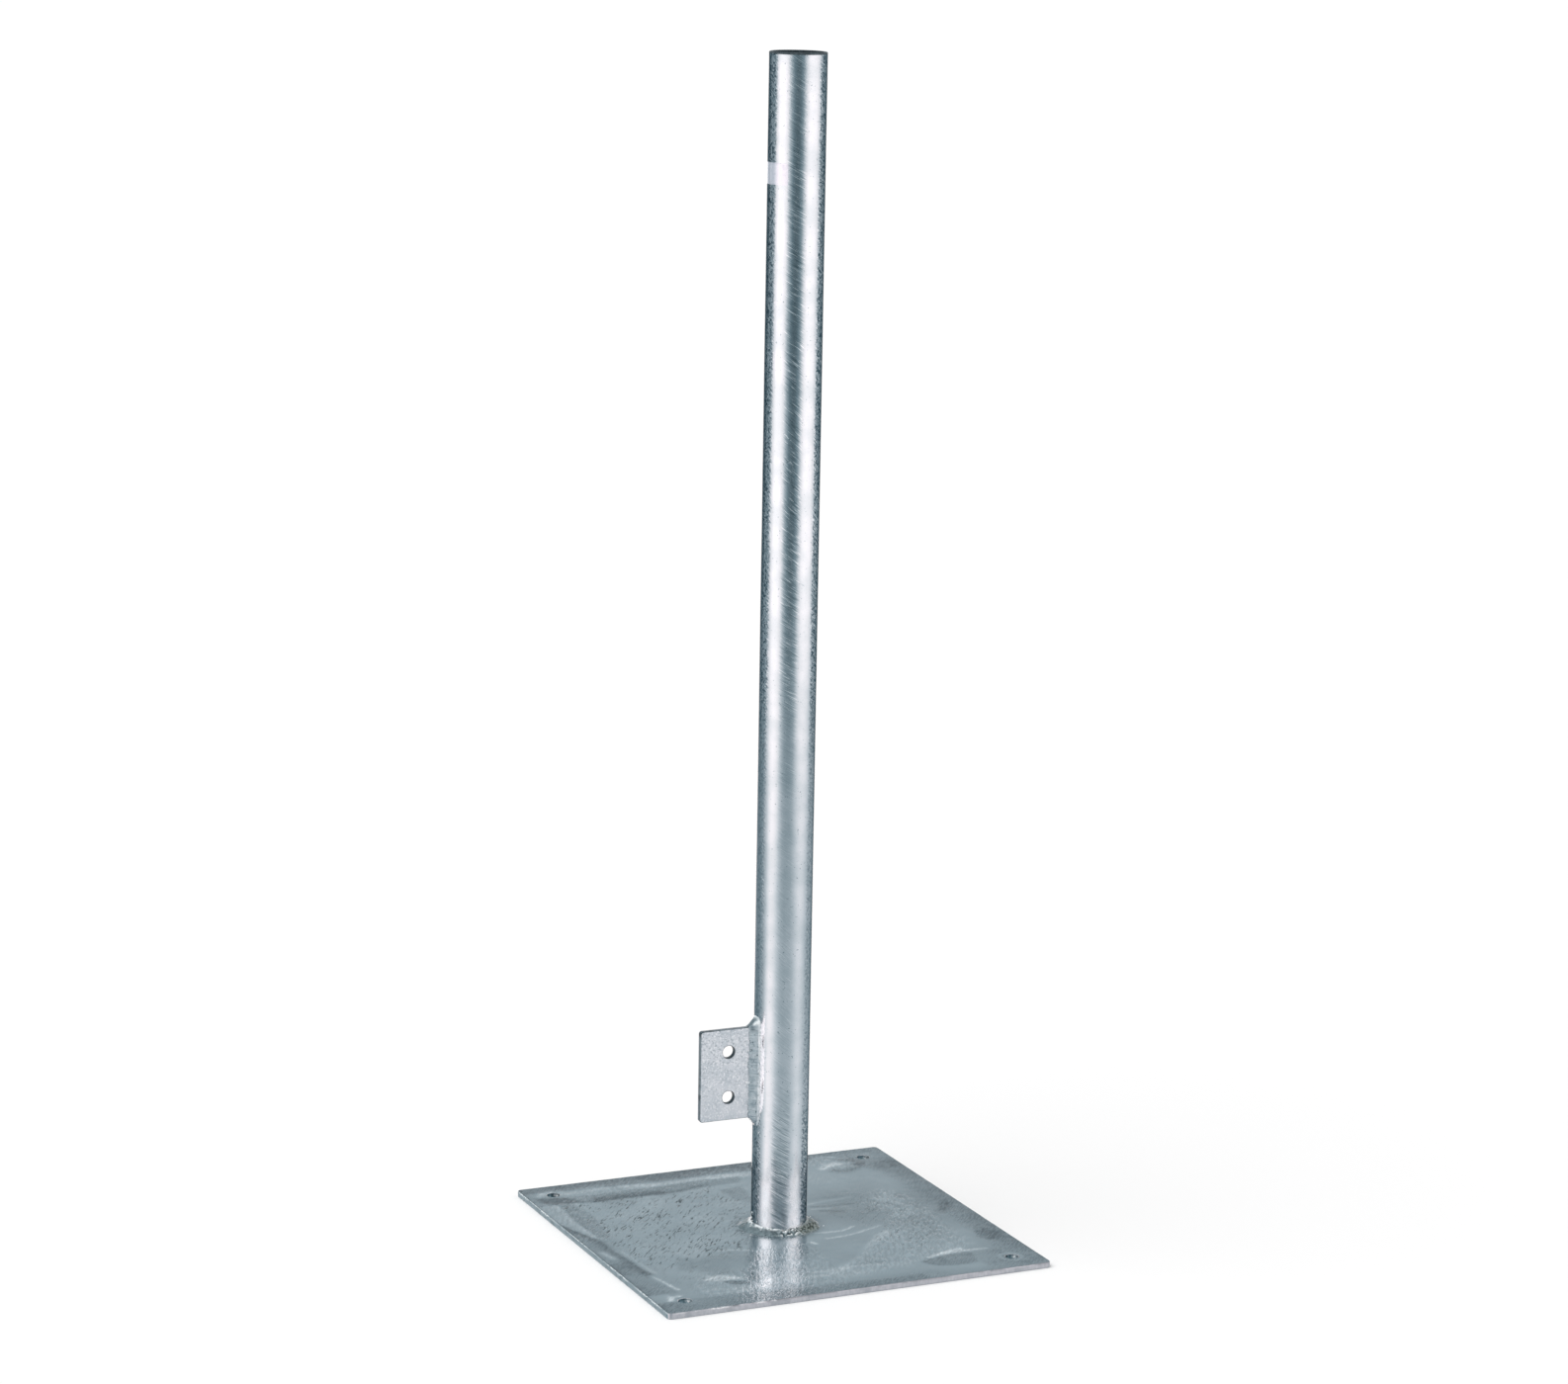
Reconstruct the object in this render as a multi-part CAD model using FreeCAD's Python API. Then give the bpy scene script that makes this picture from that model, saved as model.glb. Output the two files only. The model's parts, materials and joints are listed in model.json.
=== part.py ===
import FreeCAD, Part
import math
import os

from FreeCAD import Vector

# Upright tube on a square base plate, with a drilled lug near its foot, in millimetres. One welded piece.
# The origin is the middle of the plate's underside. +Z runs up the tube and the lug points to -X.

# Base plate
plate_side = 350.0
plate_thickness = 5.0
plate_corner_radius = 4.0
bolt_hole_radius = 5.5
bolt_edge_distance = 25.0
drain_hole_radius = 10.0

# Tube, cut square and deburred at its open top
tube_outer_radius = 24.15
tube_wall = 2.6
tube_length = 1005.0
rim_outer_radius = 1.2
rim_inner_radius = 0.6

# Lug, a flat bar standing on edge against the tube
lug_width = 52.0
lug_height = 80.0
lug_thickness = 5.0
lug_clearance_above_plate = 101.0
lug_corner_radius = 2.5
lug_hole_radius = 5.5
lug_hole_spacing = 40.0
lug_hole_edge_distance = 26.0

# The zinc coat rounds every cut edge by this much
zinc_edge_radius = 0.5

# Foot weld, one hand-laid fillet bead round the tube: its legs on the plate and up the tube, and the waves of
# its outer leg as (count round the tube, height, phase in degrees), of which the upper leg takes a share
foot_weld_out = 8.5
foot_weld_up = 4.6
foot_weld_toe = 0.45
foot_weld_bulge = 0.5
foot_weld_sections = 60
foot_weld_waves = ((2, 2.0, 112.0), (5, 0.5, 23.0), (9, 0.35, 109.0), (14, 0.2, 235.0))
foot_weld_upper_share = 0.4

# Lump where the foot weld's two ends meet: angle and half width in degrees, extra reach outwards and upwards
stop_lump_angle = -36.0
stop_lump_half_width = 20.0
stop_lump_out = 2.2
stop_lump_up = 0.6

# Lug weld, one bead all round the lug's foot: reach along the lug, legs on the tube beside and beyond the lug
lug_weld_reach = 7.8
lug_weld_side_leg = 4.0
lug_weld_end_leg = 7.8
lug_weld_toe = 0.45
lug_weld_sag = 0.8
lug_weld_corner_radius = 2.4
lug_weld_sections = 7

# How far a bead is carried into the metal behind it before it is trimmed to the faces that it joins
weld_root = 1.5

# Places that follow from the sizes
tube_bore_radius = tube_outer_radius - tube_wall
tube_top = plate_thickness + tube_length
bolt_offset = plate_side / 2 - bolt_edge_distance
lug_bottom = plate_thickness + lug_clearance_above_plate
lug_middle = lug_bottom + lug_height / 2
lug_tip = -tube_outer_radius - lug_width
plate_edge_radius = min(zinc_edge_radius, plate_thickness / 4)
lug_edge_radius = min(zinc_edge_radius, lug_thickness / 4)


def upright_bar(radius, bottom, top, x=0.0, y=0.0):
    """Upright round bar between two heights."""
    return Part.makeCylinder(radius, top - bottom, Vector(x, y, bottom))


def runs_along(edge, axis):
    """True for a straight edge parallel to the named axis."""
    box = edge.BoundBox
    lengths = {"x": box.XLength, "y": box.YLength, "z": box.ZLength}
    along = lengths.pop(axis)
    return along > 1e-6 and max(lengths.values()) < 1e-6


def full_circles(shape):
    """Edges that go full circle, such as a drilled hole's."""
    return [edge for edge in shape.Edges if edge.isClosed()]


def base_plate():
    """Square plate with rounded corners, a bolt hole near each, and a drain hole under the tube."""
    half = plate_side / 2
    plate = Part.makeBox(plate_side, plate_side, plate_thickness, Vector(-half, -half, 0))
    corners = [edge for edge in plate.Edges if runs_along(edge, "z")]
    plate = plate.makeFillet(plate_corner_radius, corners)
    outline = [edge for edge in plate.Edges if edge.BoundBox.ZLength < 1e-6]
    plate = plate.makeFillet(plate_edge_radius, outline)
    plate = plate.cut(upright_bar(drain_hole_radius, 0, plate_thickness))
    for x in (-bolt_offset, bolt_offset):
        for y in (-bolt_offset, bolt_offset):
            plate = plate.cut(upright_bar(bolt_hole_radius, 0, plate_thickness, x, y))
    return plate.makeChamfer(plate_edge_radius, full_circles(plate))


def post_tube():
    """Half section of the tube's wall, its top rim rounded outside and inside, turned about the axis."""
    outer = min(rim_outer_radius, tube_wall / 2)
    inner = min(rim_inner_radius, tube_wall / 3)
    diagonal = 1 - math.sqrt(0.5)

    def at(radius, height):
        return Vector(radius, 0, height)

    foot_in = at(tube_bore_radius, plate_thickness)
    foot_out = at(tube_outer_radius, plate_thickness)
    side_out = at(tube_outer_radius, tube_top - outer)
    bend_out = at(tube_outer_radius - outer * diagonal, tube_top - outer * diagonal)
    rim_out = at(tube_outer_radius - outer, tube_top)
    rim_in = at(tube_bore_radius + inner, tube_top)
    bend_in = at(tube_bore_radius + inner * diagonal, tube_top - inner * diagonal)
    side_in = at(tube_bore_radius, tube_top - inner)
    section = Part.Wire([
        Part.makeLine(foot_in, foot_out),
        Part.makeLine(foot_out, side_out),
        Part.Arc(side_out, bend_out, rim_out).toShape(),
        Part.makeLine(rim_out, rim_in),
        Part.Arc(rim_in, bend_in, side_in).toShape(),
        Part.makeLine(side_in, foot_in),
    ])
    return Part.Face(section).revolve(Vector(0, 0, 0), Vector(0, 0, 1), 360)


def lug_bar(inner_end):
    """The lug's plain flat bar, from its tip to a place on the X axis."""
    corner = Vector(lug_tip, -lug_thickness / 2, lug_bottom)
    return Part.makeBox(inner_end - lug_tip, lug_thickness, lug_height, corner)


def bolting_lug():
    """Flat bar with rounded free corners and two bolt holes, coped to the tube's round face."""
    lug = lug_bar(-tube_bore_radius)
    corners = [edge for edge in lug.Edges if runs_along(edge, "y") and edge.BoundBox.XMax < lug_tip + 1e-6]
    lug = lug.makeFillet(lug_corner_radius, corners)
    in_a_face = [edge for edge in lug.Edges if edge.BoundBox.YLength < 1e-6]
    outline = [edge for edge in in_a_face if edge.BoundBox.XMin < -tube_outer_radius]
    lug = lug.makeFillet(lug_edge_radius, outline)
    for offset in (-lug_hole_spacing / 2, lug_hole_spacing / 2):
        face_point = Vector(lug_tip + lug_hole_edge_distance, -lug_thickness / 2, lug_middle + offset)
        lug = lug.cut(Part.makeCylinder(lug_hole_radius, lug_thickness, face_point, Vector(0, 1, 0)))
    lug = lug.makeChamfer(lug_edge_radius, full_circles(lug))
    return lug.cut(upright_bar(tube_outer_radius, 0, tube_top))


def foot_weld_section(angle):
    """Section of the foot weld in the upright plane at an angle in degrees, rooted in tube and plate."""
    waves = 0.0
    for count, height, phase in foot_weld_waves:
        waves += height * math.sin(math.radians(count * angle + phase))
    from_lump = (angle - stop_lump_angle + 180) % 360 - 180
    lump = math.exp(-(from_lump / stop_lump_half_width) ** 2)
    out = foot_weld_out + waves + stop_lump_out * lump
    up = foot_weld_up + foot_weld_upper_share * waves + stop_lump_up * lump
    outwards = Vector(math.cos(math.radians(angle)), math.sin(math.radians(angle)), 0)

    def at(reach, height):
        return outwards * (tube_outer_radius + reach) + Vector(0, 0, plate_thickness + height)

    plate_toe = at(out, foot_weld_toe)
    tube_toe = at(foot_weld_toe, up)
    bulge = (outwards + Vector(0, 0, 1)) * (foot_weld_bulge / math.sqrt(2))
    corners = [tube_toe, at(-weld_root, up), at(-weld_root, -weld_root), at(out, -weld_root), plate_toe]
    edges = [Part.makeLine(start, end) for start, end in zip(corners, corners[1:])]
    edges.append(Part.Arc(plate_toe, (plate_toe + tube_toe) * 0.5 + bulge, tube_toe).toShape())
    return Part.Wire(edges)


def foot_weld():
    """Closed loft with straight spans between sections, trimmed to the tube and the plate."""
    turns = [360.0 * i / foot_weld_sections for i in range(foot_weld_sections)]
    bead = Part.makeLoft([foot_weld_section(angle) for angle in turns], True, True, True)
    bead = bead.cut(upright_bar(tube_outer_radius, plate_thickness - 2 * weld_root, tube_top))
    half = plate_side / 2
    corner = Vector(-half, -half, plate_thickness - 2 * weld_root)
    return bead.cut(Part.makeBox(plate_side, plate_side, 2 * weld_root, corner))


def rounded_oblong(x, half_width, half_height, corner):
    """Closed outline of four lines and four arcs in the plane across X, centred on the lug."""
    diagonal = corner * (1 - math.sqrt(0.5))

    def at(y, z):
        return Vector(x, y, lug_middle + z)

    edges = []
    for turn in range(4):
        wide, tall = (half_width, half_height) if turn % 2 == 0 else (half_height, half_width)

        def turned(y, z):
            for _ in range(turn):
                y, z = -z, y
            return at(y, z)

        side_start, side_end = turned(wide, corner - tall), turned(wide, tall - corner)
        bend, corner_end = turned(wide - diagonal, tall - diagonal), turned(wide - corner, tall)
        edges.append(Part.makeLine(side_start, side_end))
        edges.append(Part.Arc(side_end, bend, corner_end).toShape())
    return Part.Wire(edges)


def lug_weld_section(share):
    """Outline of the lug weld at a share of the way from its toe on the lug to the tube's face."""
    sag = lug_weld_sag * math.sin(math.pi * min(share, 1.0))
    side = lug_thickness / 2 + lug_weld_toe + lug_weld_side_leg * share - sag
    end = lug_height / 2 + lug_weld_toe + lug_weld_end_leg * share - sag
    corner = lug_weld_toe + (lug_weld_corner_radius - lug_weld_toe) * min(share, 1.0)
    return rounded_oblong(-tube_outer_radius - lug_weld_reach * (1 - share), side, end, corner)


def lug_weld():
    """Loft with straight spans from its toe on the lug into the tube, trimmed to the tube and the lug."""
    last = 1 + 2 * weld_root / lug_weld_reach
    shares = [last * i / lug_weld_sections for i in range(lug_weld_sections + 1)]
    bead = Part.makeLoft([lug_weld_section(share) for share in shares], True, True)
    return bead.cut(upright_bar(tube_outer_radius, 0, tube_top)).cut(bolting_lug())


def main():
    """Write each piece to its own file."""
    os.makedirs("parts", exist_ok=True)
    pieces = {
        "base_plate": base_plate(),
        "post_tube": post_tube(),
        "bolting_lug": bolting_lug(),
        "foot_weld": foot_weld(),
        "lug_weld": lug_weld(),
    }
    for name, shape in pieces.items():
        shape.exportStep(f"parts/{name}.step")
        print(name, len(shape.Solids), "solid, valid", shape.isValid(), "volume", round(shape.Volume, 1))


main()
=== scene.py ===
"""Looks of an upright galvanised tube on a square base plate, with a drilled lug near its foot.

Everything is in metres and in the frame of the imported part: +Z runs up the tube, and the lug points to -X.
What is in millimetres or degrees says so.
"""

import json
import logging
import math
from dataclasses import dataclass
from enum import Enum
from typing import Callable

import bpy
import numpy as np
from mathutils import Matrix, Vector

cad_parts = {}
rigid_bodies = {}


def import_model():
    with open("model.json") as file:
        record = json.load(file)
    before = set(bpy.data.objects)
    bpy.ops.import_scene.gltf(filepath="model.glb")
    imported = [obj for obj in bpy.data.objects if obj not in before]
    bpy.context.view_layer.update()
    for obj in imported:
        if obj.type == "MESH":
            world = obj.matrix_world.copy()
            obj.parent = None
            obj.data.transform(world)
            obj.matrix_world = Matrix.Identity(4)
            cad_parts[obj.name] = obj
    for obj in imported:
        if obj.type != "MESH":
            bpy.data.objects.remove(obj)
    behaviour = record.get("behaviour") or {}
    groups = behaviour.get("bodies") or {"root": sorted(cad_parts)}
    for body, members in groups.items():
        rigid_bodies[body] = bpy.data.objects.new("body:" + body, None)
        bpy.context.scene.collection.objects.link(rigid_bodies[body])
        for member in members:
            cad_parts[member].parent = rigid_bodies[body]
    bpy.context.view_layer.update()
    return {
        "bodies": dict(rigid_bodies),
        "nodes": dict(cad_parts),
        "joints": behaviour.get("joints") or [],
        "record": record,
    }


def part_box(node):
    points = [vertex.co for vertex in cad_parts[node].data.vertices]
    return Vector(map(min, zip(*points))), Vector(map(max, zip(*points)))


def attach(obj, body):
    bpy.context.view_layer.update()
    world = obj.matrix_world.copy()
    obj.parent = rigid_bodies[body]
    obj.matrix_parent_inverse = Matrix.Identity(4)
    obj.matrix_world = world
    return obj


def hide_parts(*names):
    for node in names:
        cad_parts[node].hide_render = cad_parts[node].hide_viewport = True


LOG = logging.getLogger("sleeve")
MM = 0.001
BODY = "root"
# Sockets of a colour Mix node, by number because several of them share a name
MIX_SHARE, MIX_FIRST, MIX_SECOND, MIX_COLOUR = 0, 6, 7, 2
Colour = tuple[float, float, float, float]
Direction = tuple[float, float, float]
Place = Callable[[np.ndarray, np.ndarray, np.ndarray], np.ndarray]
Tree = bpy.types.NodeTree
Socket = bpy.types.NodeSocket
UP: Direction = (0.0, 0.0, 1.0)


# Colours and nodes


def linear(hex_colour: str) -> Colour:
    """Turn an sRGB hex colour into linear values by the sRGB curve.

    Args:
        hex_colour: the colour, such as #8A96A0.

    Returns:
        Red, green, blue and an alpha of 1.
    """
    shares = [int(hex_colour[i:i + 2], 16) / 255 for i in (1, 3, 5)]
    red, green, blue = (s / 12.92 if s <= 0.04045 else ((s + 0.055) / 1.055) ** 2.4 for s in shares)
    return red, green, blue, 1.0


def bare_tree(block: bpy.types.Material | bpy.types.World) -> Tree:
    """Switch on the nodes of a material or world, and take out those that it starts with.

    Args:
        block: the material or world.

    Returns:
        Its empty node tree.
    """
    block.use_nodes = True
    block.node_tree.nodes.clear()
    return block.node_tree


def add(tree: Tree, kind: str, settings: dict | None = None, inputs: dict | None = None) -> bpy.types.Node:
    """Add a node with its settings and links.

    Args:
        tree: the node tree.
        kind: Blender's name of the node type.
        settings: attribute names and values.
        inputs: input names or numbers, each with a value or with the output socket that it is linked to.

    Returns:
        The new node.
    """
    node = tree.nodes.new(kind)
    for name, value in (settings or {}).items():
        setattr(node, name, value)
    for name, value in (inputs or {}).items():
        if isinstance(value, Socket):
            tree.links.new(value, node.inputs[name])
        else:
            node.inputs[name].default_value = value
    return node


def both(tree: Tree, first: Socket, second: Socket) -> Socket:
    """Socket of two shares multiplied, so that it is 1 only where both are."""
    return add(tree, "ShaderNodeMath", {"operation": "MULTIPLY"}, {0: first, 1: second}).outputs[0]


def coat(tree: Tree, base: str | Socket, layers: list[tuple[Socket, str]]) -> Socket:
    """Lay colours over a base colour, each where its share says.

    Args:
        tree: the node tree.
        base: hex colour of the base, or its socket.
        layers: pairs of a share's socket and a hex colour, the last on top.

    Returns:
        Socket of the colour.
    """
    below = linear(base) if isinstance(base, str) else base
    for share, colour in layers:
        inputs = {MIX_SHARE: share, MIX_FIRST: below, MIX_SECOND: linear(colour)}
        below = add(tree, "ShaderNodeMix", {"data_type": "RGBA"}, inputs).outputs[MIX_COLOUR]
    return below


def total(tree: Tree, base: float, layers: list[tuple[Socket, float]]) -> Socket:
    """Add shares of amounts to a base value.

    Args:
        tree: the node tree.
        base: the value with no layer.
        layers: pairs of a share's socket and the amount that a share of 1 adds.

    Returns:
        Socket of the value.
    """
    below = base
    for share, amount in layers:
        inputs = {0: share, 1: amount, 2: below}
        below = add(tree, "ShaderNodeMath", {"operation": "MULTIPLY_ADD"}, inputs).outputs[0]
    return below


def relief(tree: Tree, layers: list[tuple[Socket, float]]) -> Socket:
    """Raise fine relief on a surface, one layer on the other.

    Args:
        tree: the node tree.
        layers: pairs of a share's socket and its height in millimetres where the share is 1.

    Returns:
        Socket of the normal.
    """
    below = None
    for share, height in layers:
        inputs = {"Height": share, "Distance": abs(height) * MM, "Strength": 1.0}
        if below:
            inputs["Normal"] = below
        below = add(tree, "ShaderNodeBump", {"invert": height < 0}, inputs).outputs["Normal"]
    return below


def above_and_below(tree: Tree, value: Socket) -> list[Socket]:
    """Split a signed value.

    Args:
        tree: the node tree.
        value: socket of a value from -1 to 1.

    Returns:
        Sockets of its share above 0 and of its share below 0, each 0 to 1.
    """
    return [add(tree, "ShaderNodeMapRange", None, {"Value": value, "From Max": end}).outputs["Result"]
            for end in (1.0, -1.0)]


def towards(degrees: float) -> Direction:
    """Level direction at a turn in degrees from +X."""
    return math.cos(math.radians(degrees)), math.sin(math.radians(degrees)), 0.0


@dataclass(frozen=True)
class Grain:
    """Random pattern of a size in millimetres: 0 where its noise is below one level and 1 above another."""

    size: float
    low: float
    high: float
    detail: int = 2

    def share(self, tree: Tree, where: Socket, within: Socket | None = None) -> Socket:
        """Draw the pattern.

        Args:
            tree: the node tree.
            where: socket of the coordinates in metres.
            within: socket of the share of the surface that it keeps to, if any.

        Returns:
            Socket of the pattern's share, 0 to 1.
        """
        inputs = {"Vector": where, "Scale": 1 / (self.size * MM), "Detail": self.detail}
        noise = add(tree, "ShaderNodeTexNoise", None, inputs)
        span = {"Value": noise.outputs[0], "From Min": self.low, "From Max": self.high}
        share = add(tree, "ShaderNodeMapRange", {"interpolation_type": "SMOOTHSTEP"}, span).outputs["Result"]
        return both(tree, share, within) if within else share


class Ease(Enum):
    """How a ramp goes from one end to the other, by Blender's own names."""

    STRAIGHT = "LINEAR"
    SOFT = "SMOOTHSTEP"


@dataclass(frozen=True)
class Ramp:
    """Share that goes from its floor at one distance along a direction to 1 at another."""

    way: Direction
    start: float
    full: float
    ease: Ease = Ease.SOFT
    floor: float = 0.0

    def share(self, tree: Tree, where: Socket) -> Socket:
        """Draw the ramp.

        Args:
            tree: the node tree.
            where: socket of the coordinates in metres.

        Returns:
            Socket of the share.
        """
        along = add(tree, "ShaderNodeVectorMath", {"operation": "DOT_PRODUCT"}, {0: where, 1: self.way})
        ease = {"interpolation_type": self.ease.value}
        span = {"Value": along.outputs["Value"], "From Min": self.start, "From Max": self.full,
                "To Min": self.floor}
        return add(tree, "ShaderNodeMapRange", ease, span).outputs["Result"]


# Finishes


@dataclass(frozen=True)
class Finish:
    """A surface finish that makes its own material."""

    name: str

    def dress(self, tree: Tree, where: Socket) -> dict:
        """Inputs of the surface shader: each finish has its own.

        Args:
            tree: the material's node tree.
            where: socket of the coordinates in metres.

        Returns:
            Input names, each with a value or a socket.
        """
        raise NotImplementedError

    def material(self) -> bpy.types.Material:
        """Make the material.

        Returns:
            The material, with one surface shader that reads the piece's own coordinates.
        """
        material = bpy.data.materials.new(self.name)
        tree = bare_tree(material)
        where = add(tree, "ShaderNodeTexCoord").outputs["Object"]
        shader = add(tree, "ShaderNodeBsdfPrincipled", None, self.dress(tree, where))
        add(tree, "ShaderNodeOutputMaterial", None, {"Surface": shader.outputs[0]})
        return material


@dataclass(frozen=True)
class GalvanisedTube(Finish):
    """Hot-dipped zinc on drawn steel tube: a smooth bright coat with cool grey clouds.

    Gives the eye two clean light lines down the tube, with short slanting wipe marks in the dark between them
    and a ragged, blotchy coat along both sides, most of all where they face front. The lower half is calmer
    down to the foot, which has broad scores, and the top is gritty. The finest marks are drawn as coarse as
    they need to be to show. The pale wipe marks are partly a painted highlight: their pale colour stands in
    for the glints that real scratches catch.
    """

    name: str = "hot_dip_zinc_on_tube"
    base: str = "#9AA7AE"
    cloud: str = "#A5B0B7"
    dark: str = "#76868D"
    # Colour of the pale wipe marks, partly a painted highlight for the glints that they catch, and of the
    # pale dots
    light: str = "#E0E6EA"
    blot: str = "#546670"
    tint: str = "#70797D"
    lay: float = 62.0
    sway: float = 1.2
    sway_rate: float = 14.0
    stretch: float = 6.0
    wiped: Ramp = Ramp(towards(-113), 22.3 * MM, 23.7 * MM)
    ragged: Ramp = Ramp(towards(-25), 17.7 * MM, 19.8 * MM)
    grainy: Ramp = Ramp(towards(-180), 21.8 * MM, 23.2 * MM)
    front: Ramp = Ramp(towards(-114), 3 * MM, 13 * MM)
    lower_half: Ramp = Ramp(UP, 0.50, 0.40, Ease.STRAIGHT)
    above_foot: Ramp = Ramp(UP, 0.06, 0.14, Ease.STRAIGHT)
    top: Ramp = Ramp(UP, 0.90, 0.97, Ease.STRAIGHT)
    clouds: Grain = Grain(24, 0.35, 0.65, 3)
    mottle: Grain = Grain(2.6, 0.35, 0.7)
    glinting_wipe_marks: Grain = Grain(1.15, 0.57, 0.69)
    dark_marks: Grain = Grain(1.3, 0.52, 0.65)
    scores: Grain = Grain(2.4, 0.50, 0.62, 1)
    grit: Grain = Grain(1.7, 0.42, 0.62)
    dots: Grain = Grain(1.5, 0.62, 0.70)
    blots: Grain = Grain(2.3, 0.49, 0.60)
    teeth: Grain = Grain(2.4, 0.42, 0.60)
    pits: Grain = Grain(1.8, 0.70, 0.76, 1)

    def _slanted(self, tree: Tree, where: Socket) -> Socket:
        """Wind the coordinates about +Z, so that an upright pattern on them slants round the tube.

        At height z they are turned by lay times z plus sway times the sine of sway_rate times z, in radians.
        They are then squeezed along Z, which draws a pattern out.

        Args:
            tree: the node tree.
            where: socket of the coordinates in metres.

        Returns:
            Socket of the wound coordinates.
        """
        height = add(tree, "ShaderNodeSeparateXYZ", None, {0: where}).outputs["Z"]
        swung = {0: total(tree, 0.0, [(height, self.sway_rate)])}
        sway = add(tree, "ShaderNodeMath", {"operation": "SINE"}, swung).outputs[0]
        turned = {"Vector": where, "Angle": total(tree, 0.0, [(sway, self.sway), (height, self.lay)])}
        wound = add(tree, "ShaderNodeVectorRotate", {"rotation_type": "Z_AXIS"}, turned).outputs[0]
        squeeze = {0: wound, 1: (1, 1, 1 / self.stretch)}
        return add(tree, "ShaderNodeVectorMath", {"operation": "MULTIPLY"}, squeeze).outputs[0]

    def dress(self, tree: Tree, where: Socket) -> dict:
        """Inputs of the surface shader: marks where the wall is rubbed, blots and dots along its sides, the
        pale marks with a painted highlight.

        Args:
            tree: the material's node tree.
            where: socket of the coordinates in metres.

        Returns:
            Input names, each with a value or a socket.
        """
        ramps = (self.wiped, self.ragged, self.grainy, self.front, self.lower_half, self.above_foot, self.top)
        wiped, ragged, grainy, front, lower_half, above_foot, top = (r.share(tree, where) for r in ramps)
        calm = both(tree, lower_half, above_foot)
        rubbed = total(tree, 0.0, [(wiped, 0.9), (ragged, 1.0)])
        rubbed = both(tree, rubbed, total(tree, 1.0, [(calm, -0.8), (top, -0.4)]))
        scored = both(tree, wiped, total(tree, 1.0, [(above_foot, -1.0)]))
        sides = total(tree, 0.0, [(ragged, 1.0), (grainy, 0.95)])
        sides = both(tree, sides, total(tree, 1.0, [(calm, -0.6)]))
        sides = both(tree, sides, total(tree, 0.35, [(front, 0.65)]))
        clouds, mottle, pits = (grain.share(tree, where) for grain in (self.clouds, self.mottle, self.pits))
        dots, blots = (grain.share(tree, where, sides) for grain in (self.dots, self.blots))
        grit = self.grit.share(tree, where, top)
        slanted = self._slanted(tree, where)
        glinting_wipe_marks, dark_marks = (grain.share(tree, slanted, rubbed)
                                   for grain in (self.glinting_wipe_marks, self.dark_marks))
        scores = self.scores.share(tree, slanted, scored)
        teeth = self.teeth.share(tree, slanted, both(tree, front, sides))
        # The pale wipe marks are real marks with a painted highlight: their pale colour stands in for glints
        colour = coat(tree, self.base, [(clouds, self.cloud), (dark_marks, self.dark), (scores, self.dark),
                                        (glinting_wipe_marks, self.light), (blots, self.blot), (dots, self.light),
                                        (pits, self.dark)])
        normal = relief(tree, [(mottle, 0.0012), (teeth, 0.12), (glinting_wipe_marks, 0.007), (grit, 0.012),
                               (pits, -0.008)])
        return {"Base Color": colour, "Metallic": total(tree, 1.0, [(glinting_wipe_marks, -0.12), (dots, -0.2)]),
                "Roughness": total(tree, 0.14, [(mottle, 0.03), (ragged, 0.03), (glinting_wipe_marks, 0.06)]),
                "Normal": normal, "Specular Tint": linear(self.tint)}


@dataclass(frozen=True)
class ShadedBore(Finish):
    """Zinc inside the tube, painted dark as the shade inside it: gives the open top a dark, matt mouth."""

    name: str = "dulled_zinc_in_bore"
    base: str = "#3C474C"
    streak: str = "#566268"
    squeeze: float = 0.12
    streaks: Grain = Grain(3.0, 0.4, 0.66, 3)

    def dress(self, tree: Tree, where: Socket) -> dict:
        """Inputs of the surface shader: paler upright streaks.

        Args:
            tree: the material's node tree.
            where: socket of the coordinates in metres.

        Returns:
            Input names, each with a value or a socket.
        """
        upright = {0: where, 1: (1, 1, self.squeeze)}
        runs = add(tree, "ShaderNodeVectorMath", {"operation": "MULTIPLY"}, upright).outputs[0]
        streaks = self.streaks.share(tree, runs)
        return {"Base Color": coat(tree, self.base, [(streaks, self.streak)]), "Metallic": 0.8,
                "Roughness": total(tree, 0.5, [(streaks, 0.15)]), "Normal": relief(tree, [(streaks, 0.05)])}


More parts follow.
